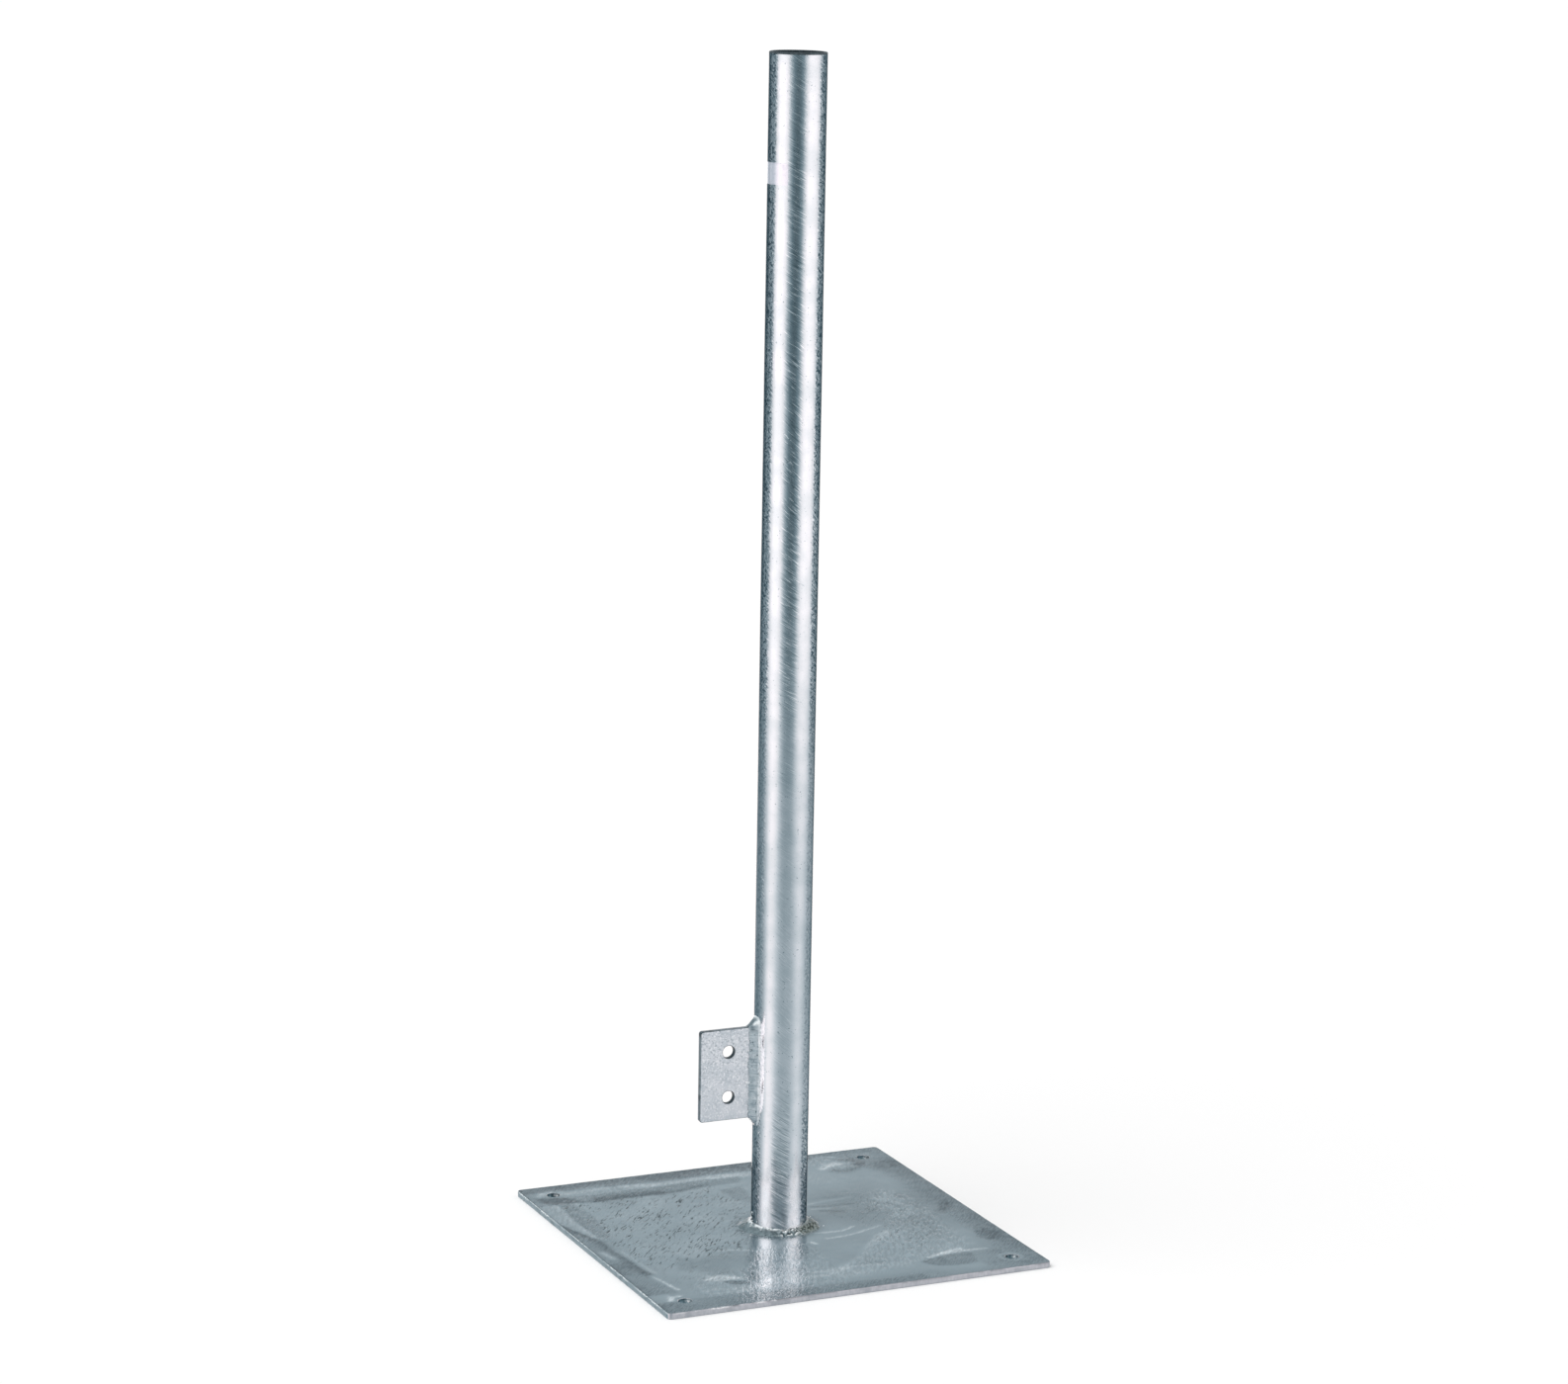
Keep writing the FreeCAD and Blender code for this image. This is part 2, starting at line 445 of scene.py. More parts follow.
@dataclass(frozen=True)
class GalvanisedPlate(Finish):
    """Hot-dipped zinc on hot-rolled plate: satin blue-grey with pale and dark flow marks and fine pits.

    The flow marks come from the piece's own tone values, and it is grainier where its grained values say.
    Some of the tone values are painted reflection: they darken and brighten the plate along the tube's mirror
    image.
    The speckle and the pits lie along the way that the plate was rolled, and the coarse grain along the way
    that the zinc ran off, each given as its direction in degrees and how many times it draws a pattern out.
    It gives the eye a soft mirror of the tube, broken up by the marks and the coarse grain.
    """

    name: str = "hot_dip_zinc_on_plate"
    base: str = "#7F929B"
    pale: str = "#DCE5EA"
    dark: str = "#0E3745"
    pit: str = "#1B3B44"
    rolled: tuple[float, float] = (50, 7)
    run_off: tuple[float, float] = (66, 4)
    clouds: Grain = Grain(30, 0.3, 0.7, 4)
    speckle: Grain = Grain(1.2, 0.38, 0.64)
    coarse: Grain = Grain(2.5, 0.42, 0.60)
    clusters: Grain = Grain(6, 0.36, 0.52, 1)
    pits: Grain = Grain(1.15, 0.58, 0.65, 1)

    def dress(self, tree: Tree, where: Socket) -> dict:
        """Inputs of the surface shader: flow marks broken by the speckle, and pits in clusters.

        Args:
            tree: the material's node tree.
            where: socket of the coordinates in metres.

        Returns:
            Input names, each with a value or a socket.
        """
        rows, runs = (add(tree, "ShaderNodeMapping", {"vector_type": "TEXTURE"},
                          {"Vector": where, "Rotation": (0, 0, math.radians(turn)), "Scale": (stretch, 1, 1)})
                      .outputs[0] for turn, stretch in (self.rolled, self.run_off))
        tone, pitted, grained = (add(tree, "ShaderNodeAttribute", {"attribute_name": name}).outputs["Fac"]
                                 for name in ("tone", "pitted", "grained"))
        clouds, speckle = self.clouds.share(tree, where), self.speckle.share(tree, rows)
        coarse = self.coarse.share(tree, runs, grained)
        pits = self.pits.share(tree, rows, self.clusters.share(tree, rows, pitted))
        bright, dim = above_and_below(tree, both(tree, tone, total(tree, 0.66, [(speckle, 0.68)])))
        colour = coat(tree, self.base, [(bright, self.pale), (dim, self.dark)])
        shade = total(tree, 0.93, [(clouds, 0.07), (speckle, 0.07), (coarse, 0.20), (grained, -0.10)])
        shaded = {0: colour, "Scale": shade}
        colour = add(tree, "ShaderNodeVectorMath", {"operation": "SCALE"}, shaded).outputs[0]
        return {"Base Color": coat(tree, colour, [(pits, self.pit)]), "Metallic": 0.57,
                "Roughness": total(tree, 0.15, [(speckle, 0.05), (coarse, 0.04), (dim, 0.03), (pits, 0.2)]),
                "Normal": relief(tree, [(speckle, 0.018), (coarse, 0.10), (pits, -0.04)]),
                "Specular IOR Level": 0.1}


@dataclass(frozen=True)
class CutEdge(Finish):
    """Zinc over a sheared or drilled edge: satin grey with faint upright shear marks.

    Where the piece's own arris value is above 0, it is painted with white sparkles, a painted highlight.
    Where it
    is below 0, it is painted darker: painted shade in holes, and a darker line along an edge.
    """

    name: str = "hot_dip_zinc_on_cut_edge"
    base: str = "#979DA4"
    pale: str = "#A5AAB1"
    dark: str = "#8F969D"
    # Colour of the painted glints, a painted highlight
    bead: str = "#EFF5F7"
    # Colour of the painted darkening: shade in holes, and a darker line along the plate's front edge
    dark_edge_and_shade: str = "#2B3A41"
    metal: float = 0.8
    squeeze: float = 0.25
    shear: Grain = Grain(1.6, 0.3, 0.7, 3)
    patches: Grain = Grain(9, 0.52, 0.7)
    sparkle: Grain = Grain(1.4, 0.36, 0.56)

    def dress(self, tree: Tree, where: Socket) -> dict:
        """Inputs of the surface shader: shear marks, dark patches, and the arris's painted highlight and
        painted darkening.

        Args:
            tree: the material's node tree.
            where: socket of the coordinates in metres.

        Returns:
            Input names, each with a value or a socket.
        """
        upright = {0: where, 1: (1, 1, self.squeeze)}
        marks = add(tree, "ShaderNodeVectorMath", {"operation": "MULTIPLY"}, upright).outputs[0]
        shear, patches = self.shear.share(tree, marks), self.patches.share(tree, where)
        arris = add(tree, "ShaderNodeAttribute", {"attribute_name": "arris"}).outputs["Fac"]
        painted_glints, dark_edge_and_shade = above_and_below(tree, arris)
        sparkle = self.sparkle.share(tree, where, painted_glints)
        # Painted highlight: white sparkles where the arris share is above 0; painted darkening below 0
        colour = coat(tree, self.base, [(shear, self.pale), (patches, self.dark), (sparkle, self.bead),
                                        (dark_edge_and_shade, self.dark_edge_and_shade)])
        metal = total(tree, self.metal, [(sparkle, -0.75 * self.metal), (dark_edge_and_shade, -0.5 * self.metal)])
        return {"Base Color": colour, "Metallic": metal, "Specular IOR Level": 0.1,
                "Roughness": total(tree, 0.3, [(shear, 0.1), (dark_edge_and_shade, 0.2)]),
                "Normal": relief(tree, [(shear, 0.015)])}


@dataclass(frozen=True)
class GalvanisedLug(Finish):
    """Hot-dipped zinc on a small flat bar: pale, slightly lilac, with a fine matt mottle and soft clouds.

    The darker dots are densest on the upper part.
    """

    name: str = "hot_dip_zinc_on_lug"
    base: str = "#B3BEC6"
    pale: str = "#BFC8CF"
    speck: str = "#D8DEE3"
    dark: str = "#A1ADB5"
    upper: Ramp = Ramp(UP, 0.115, 0.165, Ease.STRAIGHT, 0.3)
    clouds: Grain = Grain(16, 0.35, 0.62, 3)
    specks: Grain = Grain(1.5, 0.48, 0.68, 3)
    dots: Grain = Grain(2.0, 0.53, 0.64, 3)

    def dress(self, tree: Tree, where: Socket) -> dict:
        """Inputs of the surface shader: clouds, pale specks and darker dots.

        Args:
            tree: the material's node tree.
            where: socket of the coordinates in metres.

        Returns:
            Input names, each with a value or a socket.
        """
        clouds, specks = self.clouds.share(tree, where), self.specks.share(tree, where)
        dots = self.dots.share(tree, where, self.upper.share(tree, where))
        colour = coat(tree, self.base, [(clouds, self.pale), (specks, self.speck), (dots, self.dark)])
        return {"Base Color": colour, "Metallic": 0.6, "Specular IOR Level": 0.1,
                "Roughness": total(tree, 0.40, [(specks, 0.1), (dots, 0.08)]),
                "Normal": relief(tree, [(specks, 0.012), (dots, -0.012)])}


@dataclass(frozen=True)
class ZincedWeld(Finish):
    """Zinc over a hand-laid weld bead: a smooth skin with craters and ashy patches, and a painted highlight
    on its crests.

    The piece's own values say where the crest's painted highlight, the ash, the painted shade and the spatter
    are.
    """

    name: str = "hot_dip_zinc_on_foot_weld"
    base: str = "#6C7C82"
    pale: str = "#85959B"
    # Colour of the pits and of the painted shade
    dark: str = "#2F3E44"
    ash: str = "#99A19C"
    soot: str = "#3E4945"
    # Colour of the painted highlight on the crests, and of the spatter's painted glints
    crest: str = "#EDF3F5"
    clouds: Grain = Grain(5, 0.4, 0.62, 3)
    pits: Grain = Grain(2.0, 0.6, 0.7)
    skin: Grain = Grain(2.2, 0.42, 0.54)
    ash_edge: Grain = Grain(2.0, 0.30, 0.52, 3)
    crest_edge: Grain = Grain(2.2, 0.24, 0.40)

    def dress(self, tree: Tree, where: Socket) -> dict:
        """Inputs of the surface shader: ash with sooty skin in it, painted shade in craters, painted
        highlight on crests, and spatter painted white.

        Args:
            tree: the material's node tree.
            where: socket of the coordinates in metres.

        Returns:
            Input names, each with a value or a socket.
        """
        crest, ash, crater, spatter = (
            add(tree, "ShaderNodeAttribute", {"attribute_name": name}).outputs["Fac"]
            for name in ("crest", "ash", "crater", "spatter"))
        clouds, pits, skin = (grain.share(tree, where) for grain in (self.clouds, self.pits, self.skin))
        ashy, shiny = self.ash_edge.share(tree, where, ash), self.crest_edge.share(tree, where, crest)
        sooty = both(tree, ashy, skin)
        # The crest share and the spatter take a painted highlight, and the crater share a painted shade
        colour = coat(tree, self.base, [(clouds, self.pale), (ashy, self.ash), (sooty, self.soot),
                                        (pits, self.dark), (crater, self.dark), (shiny, self.crest),
                                        (spatter, self.crest)])
        return {"Base Color": colour, "Specular IOR Level": 0.3,
                "Metallic": total(tree, 0.85, [(shiny, -0.75), (ashy, -0.2), (spatter, -0.4)]),
                "Roughness": total(tree, 0.3, [(clouds, 0.1), (ashy, 0.2), (shiny, -0.1)]),
                "Normal": relief(tree, [(clouds, 0.05), (pits, -0.1), (both(tree, ash, skin), 0.3)])}


@dataclass(frozen=True)
class LabelFilm(Finish):
    """Plain adhesive film, faintly silvered: the tube's light lines run on over it."""

    name: str = "plain_label_film"
    base: str = "#C6CAD5"
    worn: str = "#BABFCB"
    wear: Grain = Grain(5, 0.5, 0.7, 4)
    wrinkles: Grain = Grain(7, 0.3, 0.7)

    def dress(self, tree: Tree, where: Socket) -> dict:
        """Inputs of the surface shader: worn patches and soft wrinkles under a clear coat.

        Args:
            tree: the material's node tree.
            where: socket of the coordinates in metres.

        Returns:
            Input names, each with a value or a socket.
        """
        wear, wrinkles = self.wear.share(tree, where), self.wrinkles.share(tree, where)
        return {"Base Color": coat(tree, self.base, [(wear, self.worn)]), "Metallic": 0.37, "Roughness": 0.2,
                "Coat Weight": 0.5, "Coat Roughness": 0.16, "Normal": relief(tree, [(wrinkles, 0.02)])}


# Meshes


def faded(distance: np.ndarray, width: float | np.ndarray) -> np.ndarray:
    """Share that falls off either way from 1 at distance 0: exp of minus (distance over width) squared."""
    return np.exp(-(distance / width) ** 2)


@dataclass(frozen=True)
class Waves:
    """Smooth random field: a sum of plane waves in random directions and phases.

    It goes about as far as its height either way. Its waves are about as long as its length, in millimetres.
    """

    height: float
    length: float
    seed: int
    count: int = 20

    def at(self, points: np.ndarray) -> np.ndarray:
        """Work the field out.

        Args:
            points: places in metres, the last axis being the coordinates.

        Returns:
            One value for each place.
        """
        draw = np.random.default_rng(self.seed)
        ways = draw.normal(size=(self.count, points.shape[-1]))
        ways /= np.linalg.norm(ways, axis=1, keepdims=True)
        turns = 2 * np.pi / (self.length * MM * draw.uniform(0.7, 1.5, self.count))
        phases = draw.uniform(0, 2 * np.pi, self.count)
        even = np.sin(points @ (ways * turns[:, None]).T + phases).sum(-1) * math.sqrt(2 / self.count)
        usual_peak = 1.6
        return self.height * (even / usual_peak)


def rippled(points: np.ndarray, fields: tuple[Waves, ...], start: float | np.ndarray = 0.0) -> np.ndarray:
    """Sum of a start value and several fields of waves at places in metres."""
    return sum((field.at(points) for field in fields), start)


@dataclass
class Surface:
    """Quads of one piece: corner places, corner numbers, each quad's slot, and values kept at the corners."""

    points: np.ndarray
    quads: np.ndarray
    slots: np.ndarray
    values: dict[str, np.ndarray]

    def joined(self, other: "Surface") -> "Surface":
        """Put another surface in the same piece, values that either lacks being 0.

        Args:
            other: the surface that is added.

        Returns:
            Both surfaces as one.
        """
        values = {}
        for name in {**self.values, **other.values}:
            mine = self.values.get(name, np.zeros(len(self.points)))
            values[name] = np.concatenate([mine, other.values.get(name, np.zeros(len(other.points)))])
        points = np.concatenate([self.points, other.points])
        quads = np.concatenate([self.quads, other.quads + len(self.points)])
        return Surface(points, quads, np.concatenate([self.slots, other.slots]), values)

    def outwards(self) -> "Surface":
        """Turn the quads of a closed surface to face outwards.

        A sum over their corners gives six times the volume that they enclose, below 0 where they face in.

        Returns:
            The surface with its quads facing outwards.
        """
        a, b, c, d = (self.points[self.quads[:, i]] for i in range(4))
        six_volumes = (np.cross(a, b) * c).sum() + (np.cross(a, c) * d).sum()
        return self if six_volumes > 0 else Surface(self.points, self.quads[:, ::-1], self.slots, self.values)


def ring_quads(rows: int, columns: int) -> np.ndarray:
    """Quads of a grid that is closed both ways, like the skin of a ring.

    Args:
        rows: points along the profile.
        columns: points round the ring.

    Returns:
        Corner numbers, four for each quad, where point (row, column) has number row * columns + column.
    """
    row, column = np.meshgrid(np.arange(rows), np.arange(columns), indexing="ij")
    below, beside = (row + 1) % rows, (column + 1) % columns
    corners = ((row, column), (row, beside), (below, beside), (below, column))
    return np.stack([(r * columns + c).ravel() for r, c in corners], -1)


def strip(upper: np.ndarray, lower: np.ndarray) -> np.ndarray:
    """Quads between two closed loops of point numbers, each quad going down, along and up again."""
    return np.stack([upper, lower, np.roll(lower, -1), np.roll(upper, -1)], -1)


def drops(centres: np.ndarray, radii: np.ndarray, flat: np.ndarray, cells: int = 3) -> Surface:
    """Small round drops of spatter, each a ball squeezed along one direction.

    A ball is a cube whose faces are grids of quads, with every point moved out to the unit sphere. Its part
    along the flat direction is then halved, and it is scaled by the radius and moved to the centre.

    Args:
        centres: the drops' centres in metres.
        radii: their radii in metres.
        flat: the unit direction along which each is squeezed.
        cells: quads along a side of a face.

    Returns:
        All drops as one surface.
    """
    u, v = np.meshgrid(np.arange(cells + 1), np.arange(cells + 1), indexing="ij")
    corners, quads = [], []
    for axis in range(3):
        for level in (0, cells):
            number = np.arange(u.size).reshape(u.shape) + u.size * len(corners)
            corners.append(np.roll(np.c_[np.full(u.size, level), u.ravel(), v.ravel()], axis, axis=1))
            quad = np.stack([number[:-1, :-1], number[1:, :-1], number[1:, 1:], number[:-1, 1:]], -1)
            quads.append(quad.reshape(-1, 4)[:, ::1 if level else -1])
    cube, merged = np.unique(np.concatenate(corners), axis=0, return_inverse=True)
    quads = merged.ravel()[np.concatenate(quads)]
    ball = cube - cells / 2
    ball = ball / np.linalg.norm(ball, axis=1, keepdims=True)
    squeezed = ball[None] - 0.5 * (ball[None] * flat[:, None]).sum(-1, keepdims=True) * flat[:, None]
    points = (centres[:, None] + radii[:, None, None] * squeezed).reshape(-1, 3)
    quads = (quads[None] + (np.arange(len(centres)) * len(ball))[:, None, None]).reshape(-1, 4)
    return Surface(points, quads, np.zeros(len(quads), int), {"spatter": np.ones(len(points))})


@dataclass(frozen=True)
class Hole:
    """Round hole through a slab: its centre in the slab's plane, its radius, and half its tile's side."""

    u: float
    v: float
    radius: float
    tile: float


# How far outside a hole's radius its rounded edge still counts as its wall
WALL_REACH = 0.2 * MM


@dataclass(frozen=True)
class Slab:
    """Flat bar or sheet with rounded corners and edges and round holes, in its own (u, v) plane, w thick.

    A grid covers the face. Its corners are rounded by turning each square ring of points near a corner into a
    quarter circle of the same size. Each hole has a square tile of the grid, filled by rings that go in a
    straight line from the tile's edge to the hole's. Both faces, the walls and the holes share their points.
    """

    low: tuple[float, float]
    high: tuple[float, float]
    thickness: float
    corner: float
    edge: float
    holes: tuple[Hole, ...]
    cell: float
    rings: int = 8
    support: float = 0.3 * MM
    bend_steps: int = 4

    def _lines(self, axis: int) -> np.ndarray:
        """Places of the grid's lines along one axis, evenly spaced between the places that need a line.

        Args:
            axis: 0 for u, 1 for v.

        Returns:
            The places in order.
        """
        low, high = self.low[axis] + self.edge, self.high[axis] - self.edge
        zone = max(self.corner - self.edge, 2 * self.support)
        stops = [low, low + self.support, low + zone, high - zone, high - self.support, high]
        for hole in self.holes:
            centre = (hole.u, hole.v)[axis]
            stops += [centre - hole.tile, centre + hole.tile]
        stops = sorted(stops)
        stops = [stop for i, stop in enumerate(stops) if i == 0 or stop - stops[i - 1] > 0.01 * MM]
        lines = [np.array([stops[0]])]
        for start, end in zip(stops, stops[1:]):
            cell = min(self.cell, zone / 3) if end - start <= zone else self.cell
            lines.append(np.linspace(start, end, max(1, math.ceil((end - start) / cell - 1e-6)) + 1)[1:])
        return np.concatenate(lines)

    def _inner(self, flat: np.ndarray) -> np.ndarray:
        """Nearest place to each point in the rectangle through the centres of the corners' circles."""
        return np.clip(flat, np.array(self.low) + self.corner, np.array(self.high) - self.corner)

    def _rounded(self, flat: np.ndarray) -> np.ndarray:
        """Move the points near the corners so that the outline's corners are quarter circles.

        Args:
            flat: the square grid's points (u, v).

        Returns:
            The rounded grid's points.
        """
        inner = self._inner(flat)
        out = flat - inner
        size, length = np.abs(out).max(-1, keepdims=True), np.linalg.norm(out, axis=-1, keepdims=True)
        near = (np.abs(out) > 1e-9).all(-1, keepdims=True)
        return np.where(near, inner + out * size / np.maximum(length, 1e-9), flat)

    def _face(self) -> tuple[np.ndarray, np.ndarray, list[tuple[np.ndarray, np.ndarray]]]:
        """Work out the face, with its holes left open.

        Returns:
            Its points (u, v), its quads, and for each wall the numbers of the points round its edge and the
            unit vectors that point out of the metal there, the outline's wall last.
        """
        us, vs = self._lines(0), self._lines(1)
        grid = np.stack(np.meshgrid(us, vs), -1).reshape(-1, 2)
        number = np.arange(len(grid)).reshape(len(vs), len(us))
        kept = np.ones((len(vs) - 1, len(us) - 1), bool)
        flat, quads, walls, count = [self._rounded(grid)], [], [], len(grid)
        for hole in self.holes:
            centre = np.array([hole.u, hole.v])
            i0, i1 = (int(np.abs(us - (hole.u + side * hole.tile)).argmin()) for side in (-1, 1))
            j0, j1 = (int(np.abs(vs - (hole.v + side * hole.tile)).argmin()) for side in (-1, 1))
            kept[j0:j1, i0:i1] = False
            loop = np.concatenate([number[j0, i0:i1], number[j0:j1, i1], number[j1, i1:i0:-1],
                                   number[j1:j0:-1, i0]])
            square = self._rounded(grid[loop])
            out = (square - centre) / np.linalg.norm(square - centre, axis=1, keepdims=True)
            rim = centre + (hole.radius + self.edge) * out
            # The rings draw together towards the hole, and the last but one supports its rounded edge
            for share in np.append(np.linspace(0, 1, self.rings)[1:-1] ** 0.8, [0.975, 1.0]):
                flat.append(square * (1 - share) + rim * share)
                ring = np.arange(count, count + len(loop))
                quads.append(np.stack([loop, np.roll(loop, -1), np.roll(ring, -1), ring], -1))
                loop, count = ring, count + len(loop)
            walls.append((loop, -out))
        cells = np.stack([number[:-1, :-1], number[:-1, 1:], number[1:, 1:], number[1:, :-1]], -1)
        flat = np.concatenate(flat)
        outline = np.concatenate([number[0, :-1], number[:-1, -1], number[-1, :0:-1], number[:0:-1, 0]])
        away = flat[outline] - self._inner(flat[outline])
        walls.append((outline, away / np.linalg.norm(away, axis=1, keepdims=True)))
        return flat, np.concatenate([*quads, cells[kept]]), walls

    def _wall_rows(self) -> list[tuple[float, float]]:
        """Work out the rows of a wall between the two faces.

        Returns:
            For each row how far out of the face's edge it is and how far down: a quarter circle, two rows on
            the straight part, and a quarter circle.
        """
        bend = np.linspace(0, np.pi / 2, self.bend_steps + 1)
        reach = np.r_[np.sin(bend), 1, 1, np.cos(bend)] * self.edge
        round_off, straight = self.edge * (1 - np.cos(bend)), self.thickness - 2 * self.edge
        middle = self.edge + straight * np.array([1, 2]) / 3
        depth = np.r_[round_off, middle, self.thickness - round_off[::-1]]
        return list(zip(reach, depth))[1:-1]

    def surface(self, place: Place, rise: Callable[[np.ndarray], np.ndarray] | None = None) -> Surface:
        """Work out the slab's points and quads.

        Args:
            place: turns arrays of u, v and w into places, keeping right-handedness.
            rise: height in metres that is added to the upper face at (u, v).

        Returns:
            The slab, with slot 0 on its faces and slot 1 on its cut edges and in its holes.
        """
        flat, face, walls = self._face()
        top, count = len(flat), 2 * len(flat)
        points, sides = [np.c_[flat, np.full(top, self.thickness)], np.c_[flat, np.zeros(top)]], []
        for loop, normals in walls:
            above = loop
            for out, down in self._wall_rows():
                points.append(np.c_[flat[loop] + normals * out, np.full(len(loop), self.thickness - down)])
                below = np.arange(count, count + len(loop))
                sides.append(strip(above, below))
                above, count = below, count + len(loop)
            sides.append(strip(above, loop + top))
        points, sides = np.concatenate(points), np.concatenate(sides)
        if rise:
            points[:, 2] += rise(points[:, :2]) * points[:, 2] / self.thickness
        quads = np.concatenate([face, face[:, ::-1] + top, sides])
        slots = np.r_[np.zeros(2 * len(face), int), np.ones(len(sides), int)]
        used, numbers = np.unique(quads, return_inverse=True)
        return Surface(place(*points[used].T), numbers.reshape(quads.shape), slots, {})


def show(name: str, data: bpy.types.ID) -> bpy.types.Object:
    """Make an object of a mesh, a lamp or a camera, and link it to the scene.

    Args:
        name: the object's name.
        data: its data block.

    Returns:
        The new object.
    """
    thing = bpy.data.objects.new(name, data)
    bpy.context.scene.collection.objects.link(thing)
    return thing


def build_piece(name: str, surface: Surface, materials: list[bpy.types.Material],
                node: str | None = None) -> bpy.types.Object:
    """Make a mesh object of a surface, and tie it to the frame.

    Args:
        name: the piece's name.
        surface: its quads, facing outwards.
        materials: one material for each slot number in the surface.
        node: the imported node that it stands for, if any.

    Returns:
        The new object.
    """
    mesh = bpy.data.meshes.new(name)
    mesh.vertices.add(len(surface.points))
    mesh.vertices.foreach_set("co", surface.points.astype(np.float32).ravel())
    mesh.loops.add(surface.quads.size)
    mesh.loops.foreach_set("vertex_index", surface.quads.astype(np.int32).ravel())
    mesh.polygons.add(len(surface.quads))
    mesh.polygons.foreach_set("loop_start", np.arange(0, surface.quads.size, 4, dtype=np.int32))
    mesh.polygons.foreach_set("material_index", surface.slots.astype(np.int32))
    mesh.update(calc_edges=True)
    mesh.shade_smooth()
    for key, numbers in surface.values.items():
        mesh.attributes.new(key, "FLOAT", "POINT").data.foreach_set("value", numbers.astype(np.float32))
    for material in materials:
        mesh.materials.append(material)
    piece = show(name, mesh)
    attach(piece, BODY)
    if node:
        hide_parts(node)
    LOG.info("%s: %d quads", name, len(surface.quads))
    return piece


# Pieces


@dataclass(frozen=True)
class SleeveSizes:
    """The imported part's own sizes, in metres."""

    plate_half: float
    plate_top: float
    bolt_offset: float
    bolt_radius: float
    tube_radius: float
    bore_radius: float
    tube_top: float
    lug_tip: float
    lug_half_thickness: float
    lug_bottom: float
    lug_top: float
    lug_hole_x: float
    lug_hole_offset: float
    lug_hole_radius: float
    lug_weld_toe: float

    @classmethod
    def of(cls, frame: dict) -> "SleeveSizes":
        """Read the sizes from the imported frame.


        Returns:
            The sizes.
        """
        mounts = {mount["name"]: mount for mount in frame["record"]["mounts"]}
        bolts, lug_bolts = mounts["plate_bolts"]["dims"], mounts["lug_bolts"]["dims"]
        plate, tube, lug, weld = (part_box(n) for n in ("base_plate", "post_tube", "bolting_lug", "lug_weld"))
        return cls(
            plate_half=plate[1].x,
            plate_top=plate[1].z,
            bolt_offset=bolts["spacing_x_mm"] / 2 * MM,
            bolt_radius=bolts["hole_r_mm"] * MM,
            tube_radius=mounts["tube_outside"]["dims"]["r_mm"] * MM,
            bore_radius=mounts["tube_bore"]["dims"]["r_mm"] * MM,
            tube_top=tube[1].z,
            lug_tip=lug[0].x,
            lug_half_thickness=lug[1].y,
            lug_bottom=lug[0].z,
            lug_top=lug[1].z,
            lug_hole_x=mounts["lug_bolts"]["pos_m"][0],
            lug_hole_offset=lug_bolts["spacing_y_mm"] / 2 * MM,
            lug_hole_radius=lug_bolts["hole_r_mm"] * MM,
            lug_weld_toe=weld[0].x,
        )


class Reach(Enum):
    """How a mark covers the plate: along an open line, or over all that its outline encloses."""

    LINE = "line"
    AREA = "area"


# The table of marks names this one often
AREA = Reach.AREA


def curve(places: np.ndarray, steps: int = 5) -> np.ndarray:
    """Smooth curve through places: between two of them the cubic whose slopes point along their neighbours.

    Args:
        places: the places in order.
        steps: points for each span.

    Returns:
        Points on the curve, with the given places among them.
    """
    ends = np.concatenate([2 * places[:1] - places[1:2], places, 2 * places[-1:] - places[-2:-1]])
    before, start, end, after = (ends[i:len(ends) - 3 + i, None] for i in range(4))
    t = np.linspace(0, 1, steps, endpoint=False)[:, None]
    bent = start + 0.5 * t * (end - before + t * (2 * before - 5 * start + 4 * end - after
                                                 + t * (3 * (start - end) + after - before)))
    return np.concatenate([bent.reshape(-1, 2), places[-1:]])


@dataclass(frozen=True)
class Mark:
    """Flow mark in the plate's zinc: pale where its tone is above 0 and dark below.

    Its places (x, y) and the distance over which it fades out are in millimetres. A line may fade out over
    another distance to the right of its way.
    """

    tone: float
    fade: float
    places: tuple[tuple[float, float], ...]
    reach: Reach = Reach.LINE
    fade_right: float = 0.0

    def at(self, flat: np.ndarray) -> np.ndarray:
        """Work out the mark's tone, which fades out with the distance to its line or to the edge of its area.

        Args:
            flat: places (x, y) in millimetres.

        Returns:
            The tone at each.
        """
        corners = np.array(self.places, float)
        if self.reach is Reach.AREA:
            ends = np.roll(corners, -1, 0)
        else:
            corners = curve(corners)
            ends = corners[1:]
        distance = np.full(len(flat), np.inf)
        inside, right = np.zeros(len(flat), bool), np.zeros(len(flat), bool)
        for start, end in zip(corners, ends):
            way, off = end - start, flat - start
            share = np.clip(off @ way / (way @ way), 0, 1)
            here = np.linalg.norm(off - share[:, None] * way, axis=1)
            turned = off[:, 0] * way[1] > off[:, 1] * way[0]
            spans = (flat[:, 1] < start[1]) != (flat[:, 1] < end[1])
            inside ^= spans & (turned == (way[1] < 0))
            right = np.where(here < distance, turned, right)
            distance = np.minimum(distance, here)
        if self.reach is Reach.AREA:
            distance[inside] = 0
        return self.tone * faded(distance, np.where(right, self.fade_right or self.fade, self.fade))


